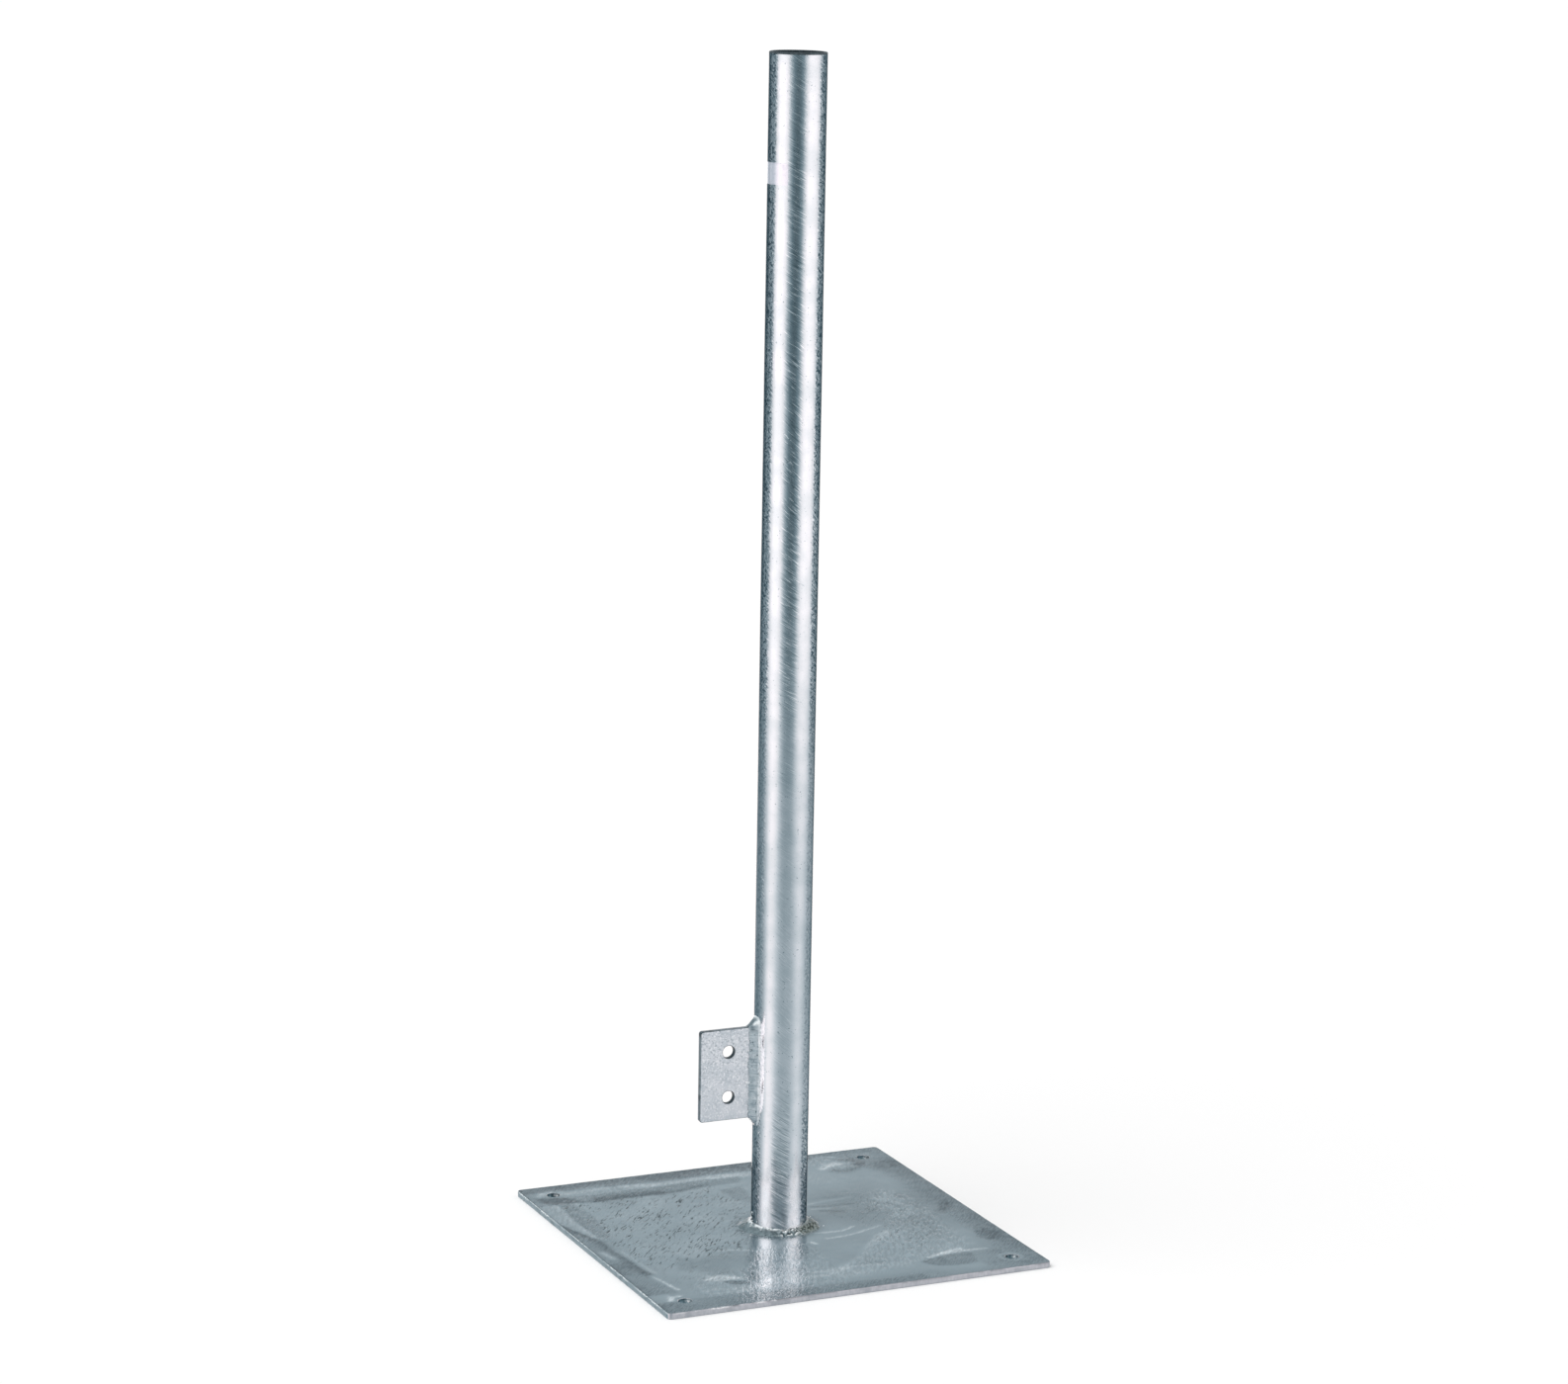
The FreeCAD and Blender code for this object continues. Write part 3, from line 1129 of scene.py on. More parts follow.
@dataclass
class BasePlate:
    """Square plate with a bolt hole near each corner and a drain hole under the tube, and zinc flow marks.

    Its marks, rings and lines are in millimetres, and the glint's turn and half width in degrees.
    """

    sizes: SleeveSizes
    corner: float = 4 * MM
    edge: float = 0.5 * MM
    drain_radius: float = 10 * MM
    tile_margin: float = 5 * MM
    cell: float = 1.8 * MM
    flow: tuple[Mark, ...] = (
        # Along the back edge: a dark band, a pale one in front of it, and a darker one with a crisp front
        Mark(-0.40, 2.5, ((-178, 178), (100, 178), (102, 160), (50, 153), (-60, 152), (-95, 156),
                          (-178, 162)), AREA),
        Mark(-0.14, 8.0, ((-60, 172), (60, 172), (50, 155), (-50, 154)), AREA),
        Mark(0.28, 4.0, ((-85, 150), (-60, 151), (45, 152), (40, 142), (-60, 143)), AREA),
        Mark(0.24, 4.0, ((-143, 158), (-105, 157), (-100, 151), (-143, 150)), AREA),
        Mark(0.45, 4.0, ((-163, 150), (-158, 156), (-150, 158))),
        Mark(-0.37, 2.2, ((-165, 140), (-115, 136), (-60, 137), (-10, 139), (20, 138), (15, 126), (0, 124),
                          (-30, 120), (-60, 118), (-100, 118), (-130, 120), (-145, 127), (-165, 130)), AREA),
        Mark(-0.36, 5.0, ((-142, 124), (-118, 120), (-60, 120), (-15, 124)), fade_right=0.8),
        Mark(-0.36, 3.5, ((-118, 127), (-60, 127), (-58, 121), (-118, 120)), AREA),
        Mark(-0.42, 5.5, ((-163, 141), (-148, 139), (-140, 129), (-158, 128)), AREA),
        # Down the left edge: a pale mottled strip, a dark one beside it, and a dark ridge that crosses over
        Mark(0.34, 1.0, ((-173, 120), (-158, 122), (-158, 27), (-161, 27), (-175, 80)), AREA),
        Mark(-0.22, 1.2, ((-157, 126), (-144, 126), (-140, 80), (-146, 25), (-157, 27)), AREA, 6.0),
        Mark(-0.50, 3.0, ((-176, 74), (-166, 38), (-159, 5), (-157, -40), (-152, -80)), fade_right=6.0),
        Mark(0.20, 1.0, ((-150, -15), (-148, -60), (-146, -75)), fade_right=4.0),
        Mark(0.55, 1.6, ((-152, -84), (-147, -105), (-143, -121)), fade_right=2.5),
        Mark(-0.20, 2.0, ((-176, -45), (-156, -45), (-150, -90), (-148, -128), (-176, -129)), AREA),
        Mark(0.55, 3.5, ((-167, -13), (-166, -30))),
        # Front left: pale round the bolt hole, a dark band along the edge, a pale swirl and its dark core
        Mark(0.28, 2.5, ((-176, -131), (-158, -131), (-158, -150), (-176, -148)), AREA),
        Mark(0.62, 3.0, ((-162, -148), (-156, -141), (-149, -139)), fade_right=1.4),
        Mark(-0.20, 2.5, ((-178, -151), (-100, -150), (-80, -158), (60, -163), (60, -176),
                          (-178, -176)), AREA),
        Mark(0.13, 3.0, ((-126, -136), (-114, -134), (-102, -139), (-90, -138))),
        Mark(0.17, 2.4, ((-123, -143), (-110, -144), (-98, -145), (-84, -142))),
        Mark(0.30, 2.2, ((-113, -109), (-106, -104), (-99, -104), (-91, -108), (-86, -115), (-96, -116),
                         (-106, -114)), AREA),
        Mark(0.22, 1.5, ((-112, -110), (-104, -107), (-96, -109), (-90, -113))),
        Mark(-0.60, 1.6, ((-101, -119), (-92, -121), (-85, -125), (-84, -130), (-91, -129),
                          (-98, -125)), AREA),
        Mark(-0.22, 5.0, ((-106, -68), (-95, -61), (-80, -59), (-62, -63), (-52, -69), (-66, -97),
                          (-79, -100), (-96, -97), (-105, -87)), AREA),
        Mark(-0.22, 3.0, ((-114, -51), (-105, -56), (-115, -80), (-124, -76)), AREA),
        # Painted shade beside the tube's mirror image on the plate
        Mark(-0.50, 4.5, ((-72, -106), (-77, -124))),
        # Round the tube's foot in front: fine pale arcs, each crisp outside and soft inside, and painted
        # reflection along the tube's mirror image
        Mark(0.30, 1.2, ((-74, -45), (-67, -45), (-54, -49), (-46, -54)), fade_right=3.0),
        Mark(-0.16, 4.0, ((-72, -51), (-50, -57))),
        # Painted reflection: these two darker lines dim the tube's mirrored light lines near its foot, and
        # the next three darken and brighten them further out, as painted shade and painted highlight
        Mark(-0.13, 7.0, ((-28, -33), (-45, -75))),
        Mark(-0.22, 7.0, ((-3, -44), (-18, -86))),
        Mark(-0.20, 5.0, ((-49, -88), (-57, -106))),
        Mark(0.34, 4.5, ((-66, -127), (-74, -144))),
        Mark(0.24, 4.0, ((-41, -126), (-47, -140))),
        Mark(0.34, 3.0, ((20, -31), (30, -33), (43, -34), (51, -32), (59, -27)), fade_right=0.9),
        Mark(0.36, 3.0, ((24, -48), (38, -48), (53, -46), (67, -40), (81, -34)), fade_right=0.9),
        Mark(0.18, 4.0, ((-35, -120), (-22, -124), (-6, -125), (8, -121), (22, -110), (38, -94), (52, -77),
                         (65, -63), (81, -50)), fade_right=4.5),
        Mark(0.16, 2.5, ((-35, -132), (-20, -134), (-4, -131), (11, -124), (33, -126)), fade_right=4.0),
        Mark(-0.16, 2.0, ((14, -120), (33, -121), (58, -124))),
        Mark(-0.03, 3.0, ((-35, -124), (8, -125), (38, -98), (65, -67), (81, -54), (120, -22), (124, -80),
                          (120, -112), (82, -122), (40, -126), (0, -134)), AREA),
        Mark(-0.14, 9.0, ((-5, -60), (30, -56), (55, -60), (40, -84), (20, -102), (0, -112)), AREA),
        Mark(0.42, 2.2, ((7, -52), (9, -58))),
        # Front right: a dark wedge with pale streaks over it, a pale patch, and a sharp seam beside them
        Mark(-0.44, 2.4, ((74, -133), (92, -129), (110, -126), (121, -127), (120, -140), (117, -149),
                          (104, -151), (84, -146)), AREA),
        Mark(-0.50, 1.2, ((-38, 1), (-33, -2), (-26, -3))),
        Mark(0.40, 2.8, ((84, -126), (97, -122), (108, -117), (119, -115)), fade_right=2.4),
        Mark(0.36, 3.0, ((100, -122), (112, -121), (119, -120))),
        Mark(0.36, 1.0, ((95, -136), (103, -133))),
        Mark(0.10, 5.0, ((76, -150), (98, -158), (118, -160), (118, -167), (84, -166)), AREA),
        Mark(0.34, 2.4, ((125, -120), (133, -121), (140, -122))),
        Mark(-0.22, 4.0, ((124, -128), (146, -130), (146, -158), (124, -158)), AREA),
        Mark(-0.05, 2.0, ((120, -22), (142, -22), (142, -118), (120, -118)), AREA),
        # Painted highlight: a pale ring round the front right bolt hole
        Mark(0.38, 1.6, ((159, -150), (156.4, -143.6), (150, -141), (143.6, -143.6), (141, -150),
                         (143.6, -156.4), (150, -159), (156.4, -156.4), (159, -150))),
        # Down the right edge: a darker strip with darker spots
        Mark(-0.42, 4.0, ((149, -94), (154, -80), (161, -78), (166, -84), (163, -98), (155, -100)), AREA),
        Mark(-0.45, 5.5, ((147, -17), (155, -8), (161, 2))),
        Mark(-0.30, 14.0, ((158, 125), (176, 125), (176, -160), (160, -160), (157, -100), (160, 0)), AREA),
        # Back right: a pale arc and a pale wedge round a dark swirl
        Mark(0.38, 3.0, ((99, 158), (108, 162), (120, 161), (131, 153))),
        Mark(0.44, 4.5, ((103, 131), (110, 137), (121, 141))),
        Mark(-0.50, 6.0, ((128, 151), (138, 146), (140, 136), (132, 126), (120, 119), (110, 124))),
        Mark(-0.20, 6.0, ((100, 178), (176, 178), (176, 120), (146, 115), (135, 150), (105, 165)), AREA),
        # Right of the tube: a broad dim area, a paler mottled patch in it, and soft streaks behind the tube
        Mark(-0.24, 22.0, ((62, 42), (100, 60), (128, 30), (125, -25), (90, -18), (62, 5)), AREA),
        Mark(0.20, 3.0, ((103, 24), (112, 36), (122, 46), (131, 44), (126, 26), (130, 10), (119, -14),
                         (104, -12), (108, 6)), AREA),
        Mark(-0.30, 4.0, ((131, 40), (130, 33))),
        Mark(-0.24, 2.5, ((108, 22), (116, 18), (119, 8))),
        Mark(0.30, 3.0, ((45, 44), (65, 46), (88, 47))),
        Mark(-0.30, 2.5, ((48, 37), (62, 34), (85, 30))),
        Mark(0.28, 1.8, ((45, 30), (60, 27))),
        Mark(-0.26, 3.5, ((50, 22), (68, 15))),
        Mark(-0.30, 2.5, ((-6, 106), (12, 110), (4, 70), (-6, 82)), AREA),
    )
    pitted: tuple[Mark, ...] = (
        Mark(1.0, 14.0, ((-146, 110), (-20, 112), (-5, 70), (-40, 0), (-62, -50), (-138, -52)), AREA),
        Mark(0.55, 10.0, ((60, 20), (104, 40), (126, 10), (120, -60), (90, -100), (60, -80),
                          (88, -40)), AREA),
        Mark(0.35, 10.0, ((-120, -60), (-90, -95), (-115, -125), (-140, -100)), AREA),
    )
    grained: tuple[Mark, ...] = (
        Mark(0.9, 7.0, ((-45, -54), (2, -54), (-12, -168), (-108, -168)), AREA),
        Mark(1.0, 7.0, ((-35, -128), (8, -127), (38, -100), (65, -69), (81, -56), (104, -12), (96, 24),
                        (124, 52), (136, 30), (128, -100), (118, -124), (60, -130), (20, -140),
                        (-60, -142)), AREA),
        Mark(0.8, 6.0, ((-130, -128), (-110, -96), (-60, -100), (-48, -120), (-60, -146),
                        (-128, -148)), AREA),
        Mark(0.8, 5.0, ((-173, 122), (-143, 124), (-142, 60), (-146, 20), (-172, 20)), AREA),
        Mark(0.7, 6.0, ((-160, 158), (60, 158), (60, 138), (-160, 124)), AREA),
        Mark(0.8, 6.0, ((95, 165), (136, 156), (142, 130), (110, 118)), AREA),
    )
    wander: tuple[tuple[Waves, ...], ...] = ((Waves(1.1, 60, 5), Waves(0.35, 7, 7)),
                                             (Waves(1.1, 60, 6), Waves(0.35, 7, 8)))
    soft_clouds: Waves = Waves(0.06, 60, 9)
    low_relief: tuple[Waves, ...] = (Waves(0.05, 55, 3), Waves(0.03, 12, 4))
    # Waves that vary the painted highlight along the edges
    edge_glints: Waves = Waves(0.5, 14, 15)
    left_glints: Waves = Waves(0.5, 40, 14)
    weld_ring: float = 34.0
    weld_ring_width: float = 6.0
    border: float = 22.0
    thin_line: float = 1.6
    dark_from: float = -80 * MM
    glint_turn: float = 35.0
    glint_half: float = 24.0
    glint_height: float = 3.4 * MM
    glint_rise: float = 1.1 * MM
    glint_reach: float = 0.1 * MM

    def tone(self, flat: np.ndarray) -> np.ndarray:
        """Work out the tone of the upper face: its flow marks, at places that soft waves move a little.

        A dark ring round the weld, a dark border and a narrow dark line along the left edge fade like marks.

        Args:
            flat: places (x, y) in metres.

        Returns:
            The tone at each place, from -1 dark to 1 pale.
        """
        x, y = (rippled(flat, self.wander[i], flat[:, i] / MM) for i in (0, 1))
        half = self.sizes.plate_half
        tone = sum(mark.at(np.stack([x, y], -1)) for mark in self.flow)
        ring = faded(np.hypot(x, y) - self.weld_ring, self.weld_ring_width)
        border = faded(half / MM - np.maximum(np.abs(x), np.abs(y)), self.border)
        line = faded((half + flat[:, 0]) / MM, self.thin_line)
        return np.clip(tone - 0.32 * ring - 0.36 * border - 0.5 * line + self.soft_clouds.at(flat), -1, 1)

    def rise(self, flat: np.ndarray) -> np.ndarray:
        """Low relief of the upper face, as runny zinc leaves it: less than a tenth of a millimetre."""
        return rippled(flat, self.low_relief) * MM

    def build(self, face: bpy.types.Material, edge: bpy.types.Material, bore: bpy.types.Material,
              left: bpy.types.Material) -> bpy.types.Object:
        """Make the plate.

        Args:
            face: material of its two faces.
            edge: material of its cut edges.
            bore: material of the bolt holes' walls, a darker copy that paints their shade.
            left: material of the left edge, a darker copy that paints its shade.

        Returns:
            The piece.
        """
        s = self.sizes
        half, offset = s.plate_half, s.bolt_offset
        tile = half - offset - self.tile_margin
        holes = [Hole(x, y, s.bolt_radius, tile) for x in (-offset, offset) for y in (-offset, offset)]
        holes.append(Hole(0.0, 0.0, self.drain_radius, 2 * self.drain_radius))
        slab = Slab((-half, -half), (half, half), s.plate_top, self.corner, self.edge, tuple(holes),
                    self.cell)
        surface = slab.surface(lambda u, v, w: np.stack([u, v, w], -1), self.rise)
        upper = surface.points[:, 2] > s.plate_top - self.edge
        flat = surface.points[upper, :2]
        pitted, grained = (sum(mark.at(flat / MM) for mark in marks) for marks in (self.pitted, self.grained))
        for name, numbers in (("tone", self.tone(flat)), ("pitted", pitted), ("grained", grained)):
            surface.values[name] = np.zeros(len(surface.points))
            surface.values[name][upper] = np.clip(numbers, -1, 1)
        # The arris share paints a highlight along the upper edge and a glint in each bolt hole
        surface.values["arris"] = self._arris(surface.points)
        # The left edge takes a darker copy of the edge's finish: painted shade
        on_left = surface.points[surface.quads, 0].mean(1) < self.edge - half
        surface.slots[on_left & (surface.slots == 1)] = 3
        # The bolt holes' walls take a darker finish: painted shade
        surface.slots[self._in_holes(surface)] = 2
        return build_piece("base_plate_zinced", surface, [face, edge, bore, left],
                           "base_plate")

    def _from_hole(self, places: np.ndarray) -> np.ndarray:
        """Offset (x, y) of places from the middle of the bolt hole in their quarter of the plate."""
        return places[:, :2] - self.sizes.bolt_offset * np.where(places[:, :2] < 0, -1, 1)

    def _in_holes(self, surface: Surface) -> np.ndarray:
        """Find the quads in the walls of the bolt holes.

        Args:
            surface: the plate.

        Returns:
            For each quad whether it is in one.
        """
        middles = surface.points[surface.quads].mean(1)
        near = np.linalg.norm(self._from_hole(middles), axis=1) < self.sizes.bolt_radius + WALL_REACH
        return near & (surface.slots == 1)

    def _arris(self, points: np.ndarray) -> np.ndarray:
        """Share of painted white glint, a painted highlight, and below 0 of painted darkening.

        The painted glints lie along the upper edge on the left side and at the front corner, and in one spot
        in each bolt hole. The rest of the upper edge in front is painted dark.

        Args:
            points: the plate's corner places.

        Returns:
            The share at each, -1 to 1.
        """
        s = self.sizes
        x, y, z = points.T
        across, along = np.abs(x), np.abs(y)
        outermost = np.maximum(across, along) > s.plate_half - 0.9 * self.edge
        rounding = outermost & (z > s.plate_top - self.edge)
        left, front = (x < 0) & (across > along), (y < 0) & (along >= across)
        share = np.where(front & (x > self.dark_from), -0.3, 0.2 + self.edge_glints.at(points))
        share = np.where(left, 0.85 + self.left_glints.at(points), share)
        off = self._from_hole(points)
        turn = np.degrees(np.arctan2(off[:, 1], off[:, 0])) - self.glint_turn
        wall = np.linalg.norm(off, axis=1) < s.bolt_radius + self.glint_reach
        glint = wall * faded(turn, self.glint_half) * faded(z - self.glint_height, self.glint_rise)
        return np.clip(np.where(rounding, share, glint), -1, 1)


@dataclass
class PostTube:
    """Round tube, its wall turned from one closed profile, with the slight waves of a dipped coat."""

    sizes: SleeveSizes
    columns: int = 180
    wall_rows: int = 240
    bore_rows: int = 40
    rim_rows: int = 7
    rim_outer: float = 1.2 * MM
    rim_inner: float = 0.6 * MM
    rim_support: float = 0.5 * MM
    coat_thickness: float = 0.03 * MM
    swells: tuple[Waves, ...] = (Waves(1.0, 90, 11), Waves(0.4, 16, 12))
    swell_peak: float = 1.2

    def build(self, coat_finish: bpy.types.Material, bore_finish: bpy.types.Material) -> bpy.types.Object:
        """Make the tube: the profile (radius, height) is turned about +Z.

        The outside is moved by the coat's thickness times its swells less their peak, so that it stays at or
        just under the solid's radius.

        Args:
            coat_finish: material of the outside.
            bore_finish: material of the bore and the cut rim, dark as their painted shade.

        Returns:
            The piece.
        """
        s = self.sizes
        outer, inner, bend = self.rim_outer, self.rim_inner, np.linspace(0, np.pi / 2, self.rim_rows)
        wall_top = s.tube_top - outer
        wall = np.append(np.linspace(s.plate_top, wall_top - self.rim_support, self.wall_rows), wall_top)
        rim_out = np.c_[s.tube_radius - outer * (1 - np.cos(bend)), s.tube_top - outer * (1 - np.sin(bend))]
        rim_in = np.c_[s.bore_radius + inner * (1 - np.sin(bend)), s.tube_top - inner * (1 - np.cos(bend))]
        bore = np.linspace(s.tube_top - inner, s.plate_top, self.bore_rows)
        profile = np.concatenate([np.c_[np.full(len(wall), s.tube_radius), wall], rim_out[1:], rim_in,
                                  np.c_[np.full(len(bore) - 1, s.bore_radius), bore[1:]]])
        turn = np.arange(self.columns) * 2 * np.pi / self.columns
        radius, height = profile[:, :1], profile[:, 1:]
        places = np.stack([radius * np.cos(turn), radius * np.sin(turn), height + 0 * turn], -1)
        outside = np.arange(len(profile)) < len(wall)
        swell = self.coat_thickness * (rippled(places, self.swells) - self.swell_peak)
        places[..., :2] *= 1 + np.where(outside[:, None], swell / s.tube_radius, 0)[..., None]
        quads = ring_quads(len(profile), self.columns)
        # The rim and the bore take the bore's finish, which paints the shade inside the tube's mouth
        slots = (quads[:, 0] // self.columns >= len(wall) - 2).astype(int)
        surface = Surface(places.reshape(-1, 3), quads, slots, {}).outwards()
        return build_piece("post_tube_zinced", surface, [coat_finish, bore_finish],
                           "post_tube")


@dataclass
class BoltingLug:
    """Flat bar on edge against the tube, with two holes."""

    sizes: SleeveSizes
    corner: float = 2.5 * MM
    edge: float = 0.5 * MM
    cell: float = 1.3 * MM
    sunk: float = 0.9 * MM
    low_relief: Waves = Waves(0.04, 14, 21)
    hole_shade: float = -0.8

    def build(self, face: bpy.types.Material, edge: bpy.types.Material) -> bpy.types.Object:
        """Make the lug: a slab on edge, whose holes are painted dark as their shade.

        Args:
            face: material of its two faces.
            edge: material of its cut edges and holes.

        Returns:
            The piece.
        """
        s = self.sizes
        middle, half = (s.lug_bottom + s.lug_top) / 2, s.lug_half_thickness
        holes = tuple(Hole(s.lug_hole_x, middle + side * s.lug_hole_offset, s.lug_hole_radius,
                           1.5 * s.lug_hole_radius) for side in (-1, 1))
        slab = Slab((s.lug_tip, s.lug_bottom), (-s.tube_radius + self.sunk, s.lug_top), 2 * half, self.corner,
                    self.edge, holes, self.cell)
        surface = slab.surface(lambda u, v, w: np.stack([u, half - w, v], -1),
                               lambda flat: self.low_relief.at(flat) * MM)
        off = surface.points[:, [0, 2]] - np.array([s.lug_hole_x, middle])
        off[:, 1] = np.abs(off[:, 1]) - s.lug_hole_offset
        in_holes = np.linalg.norm(off, axis=1) < s.lug_hole_radius + WALL_REACH
        # Painted shade in the holes: their walls are painted dark
        surface.values["arris"] = np.where(in_holes, self.hole_shade, 0.0)
        return build_piece("bolting_lug_zinced", surface, [face, edge], "bolting_lug")


@dataclass
class FootWeld:
    """Hand-laid fillet bead round the tube's foot: ripples, craters, a lump where its ends meet, and spatter.

    Its lengths are in millimetres and its angles in degrees. A leg wave has its number of waves round the
    tube, its height and its phase, and the shine, a painted highlight along the crest, is pairs of an angle
    and a share. The fields of waves lie on a plain skin: a ring as wide as the bead, each point at its own
    turn and share of the way down.
    """

    sizes: SleeveSizes
    columns: int = 720
    rows: int = 32
    out: float = 8.5
    up: float = 4.6
    leg_waves: tuple[tuple[int, float, float], ...] = ((2, 2.0, 112.0), (5, 0.5, 23.0), (9, 0.35, 109.0),
                                                       (14, 0.2, 235.0))
    upper_share: float = 0.4
    lump_angle: float = -36.0
    lump_half: float = 20.0
    lump_out: float = 2.2
    lump_up: float = 0.6
    crater_angle: float = -93.0
    crater_half: float = 15.0
    ash_angle: float = -47.0
    ash_half: float = 30.0
    skin_radius: float = 30.0
    skin_width: float = 9.0
    ripples: int = 58
    ripple: float = 0.16
    ripple_bow: float = 5.0
    uneven: float = 0.8
    bulge: float = 0.5
    rough: tuple[Waves, ...] = (Waves(0.28, 5, 31), Waves(0.16, 2.2, 32, 30))
    broken: Waves = Waves(1.0, 3, 34, 30)
    gaps: Waves = Waves(0.7, 4, 35)
    crest_width: float = 0.12
    sunk_in_tube: float = 0.15
    sunk_in_plate: float = 0.1
    raised_out: float = 0.5
    raised_up: float = 0.86
    spatter: int = 34
    spatter_size: tuple[float, float] = (0.25, 0.7)
    splash: int = 24
    splash_angle: float = -188.0
    splash_half: float = 8.0
    splash_climb: float = 9.0
    dark_drops: float = 0.45
    # Painted highlight along the crest: its share at each angle round the tube
    shine: tuple[tuple[float, float], ...] = (
        (-194, 0.9), (-170, 1.0), (-112, 1.0), (-106, 0.6), (-98, 1.0), (-86, 0.9), (-76, 0.3), (-5, 0.1),
        (30, 0.6), (70, 0.3), (110, 0.8), (150, 0.5))

    def _near(self, turn: np.ndarray, angle: float, half: float) -> np.ndarray:
        """Share, 1 at an angle in degrees and fading out over its half width, at turns in radians."""
        return faded((np.degrees(turn) - angle + 180) % 360 - 180, half)

    def _legs(self, turn: np.ndarray) -> tuple[np.ndarray, np.ndarray, np.ndarray]:
        """Work out the bead's legs.

        Args:
            turn: turns in radians.

        Returns:
            Outer leg and upper leg, in millimetres, and share of the lump at each turn.
        """
        swell = sum(h * np.sin(n * turn + math.radians(phase)) for n, h, phase in self.leg_waves)
        lump = self._near(turn, self.lump_angle, self.lump_half)
        out = self.out + swell + self.lump_out * lump
        return out, self.up + self.upper_share * swell + self.lump_up * lump, lump

    def _profile(self, turn: np.ndarray, t: np.ndarray, skin: np.ndarray, shine: np.ndarray,
                 craters: np.ndarray) -> tuple[np.ndarray, np.ndarray]:
        """Work out how far the bead's points are from the tube and from the plate.

        At a share t of the way down, the profile is at (out * t, up * (1 - t)), sunk a little in the metal at
        its toes. It is raised along its outward diagonal by a bulge, by ripples that bow towards the plate
        and are unevenly spaced, by rough waves and by its craters, which all fade out at the toes, and by a
        crest at the tube. A ripple's height follows the size of the sine of half its bow.

        Args:
            turn: the columns' turns in radians.
            t: the rows' shares of the way down, as a column.
            skin: the places at which the fields of waves are read.
            shine: share of shine at each turn.
            craters: height of the craters at each point.

        Returns:
            Both distances in millimetres. Three more rows close the bead inside the metal.
        """
        out, up, lump = self._legs(turn)
        bow = turn * self.ripples + self.ripple_bow * (t - 0.4) ** 2 + self.uneven * np.sin(3 * turn)
        ridge = (np.abs(np.sin(bow / 2)) - 0.6) * self.ripple * (1 + lump)
        rough = rippled(skin, self.rough) * (0.6 + 1.2 * lump)
        crest = (0.25 + 0.3 * shine) * faded(t, self.crest_width)
        raised = (self.bulge + ridge + rough + craters) * np.sin(np.pi * t) ** 0.6 + crest
        reach = out * t - self.sunk_in_tube * (1 - t) + raised * self.raised_out
        height = up * (1 - t) - self.sunk_in_plate * t + raised * self.raised_up
        level = 0 * out
        behind = np.stack([out - 1.5, level - 1.0, level - 1.0])
        under = np.stack([level - 0.8, level - 0.8, up - 1.0])
        return np.concatenate([reach, behind]), np.concatenate([height, under])

    def build(self, finish: bpy.types.Material) -> bpy.types.Object:
        """Make the bead: its profile from the tube to the plate, carried round the tube, and its spatter.

        Its crest has a painted highlight where the shine has no gaps, and so do the high parts of its
        craters.
        Their low parts are painted dark as shade, and the ash lies about the middle of the profile.

        Args:
            finish: the bead's material.

        Returns:
            The piece.
        """
        s = self.sizes
        turn = np.arange(self.columns) * 2 * np.pi / self.columns
        t = np.linspace(0, 1, self.rows)[:, None]
        x, y = (wave * self.skin_radius * MM + 0 * t for wave in (np.cos(turn), np.sin(turn)))
        skin = np.stack([x, y, t * self.skin_width * MM + 0 * turn], -1)
        shine = np.interp(np.degrees(turn), *zip(*self.shine), period=360)
        crater = np.minimum(1, 1.5 * self._near(turn, self.crater_angle, self.crater_half))
        broken = self.broken.at(skin)
        reach, height = self._profile(turn, t, skin, shine, crater * broken)
        radius = s.tube_radius + reach * MM
        points = np.stack([radius * np.cos(turn), radius * np.sin(turn), s.plate_top + height * MM], -1)
        ash = np.minimum(1, 1.6 * self._near(turn, self.ash_angle, self.ash_half)) * np.sin(np.pi * t) ** 0.4
        kept = np.clip(1.05 + self.gaps.at(skin), 0, 1)
        # Painted highlight on the crest and on the craters' high parts, painted shade in their low parts
        bright = shine * kept * faded(t - 0.07, 0.08 + 0.11 * kept * shine)
        bright = np.maximum(bright * (1 - 0.6 * crater), crater * np.clip(3.5 * broken - 0.7, 0, 1))
        pits = crater * np.clip(-3.5 * broken - 0.9, 0, 1)
        hidden = np.zeros((len(reach) - self.rows, self.columns))
        values = {name: np.concatenate([numbers, hidden]).ravel()
                  for name, numbers in (("crest", bright), ("ash", ash), ("crater", pits))}
        quads = ring_quads(len(points), self.columns)
        surface = Surface(points.reshape(-1, 3), quads, np.zeros(len(quads), int), values).outwards()
        surface = surface.joined(self._drops())
        return build_piece("foot_weld_zinced", surface, [finish], "foot_weld")

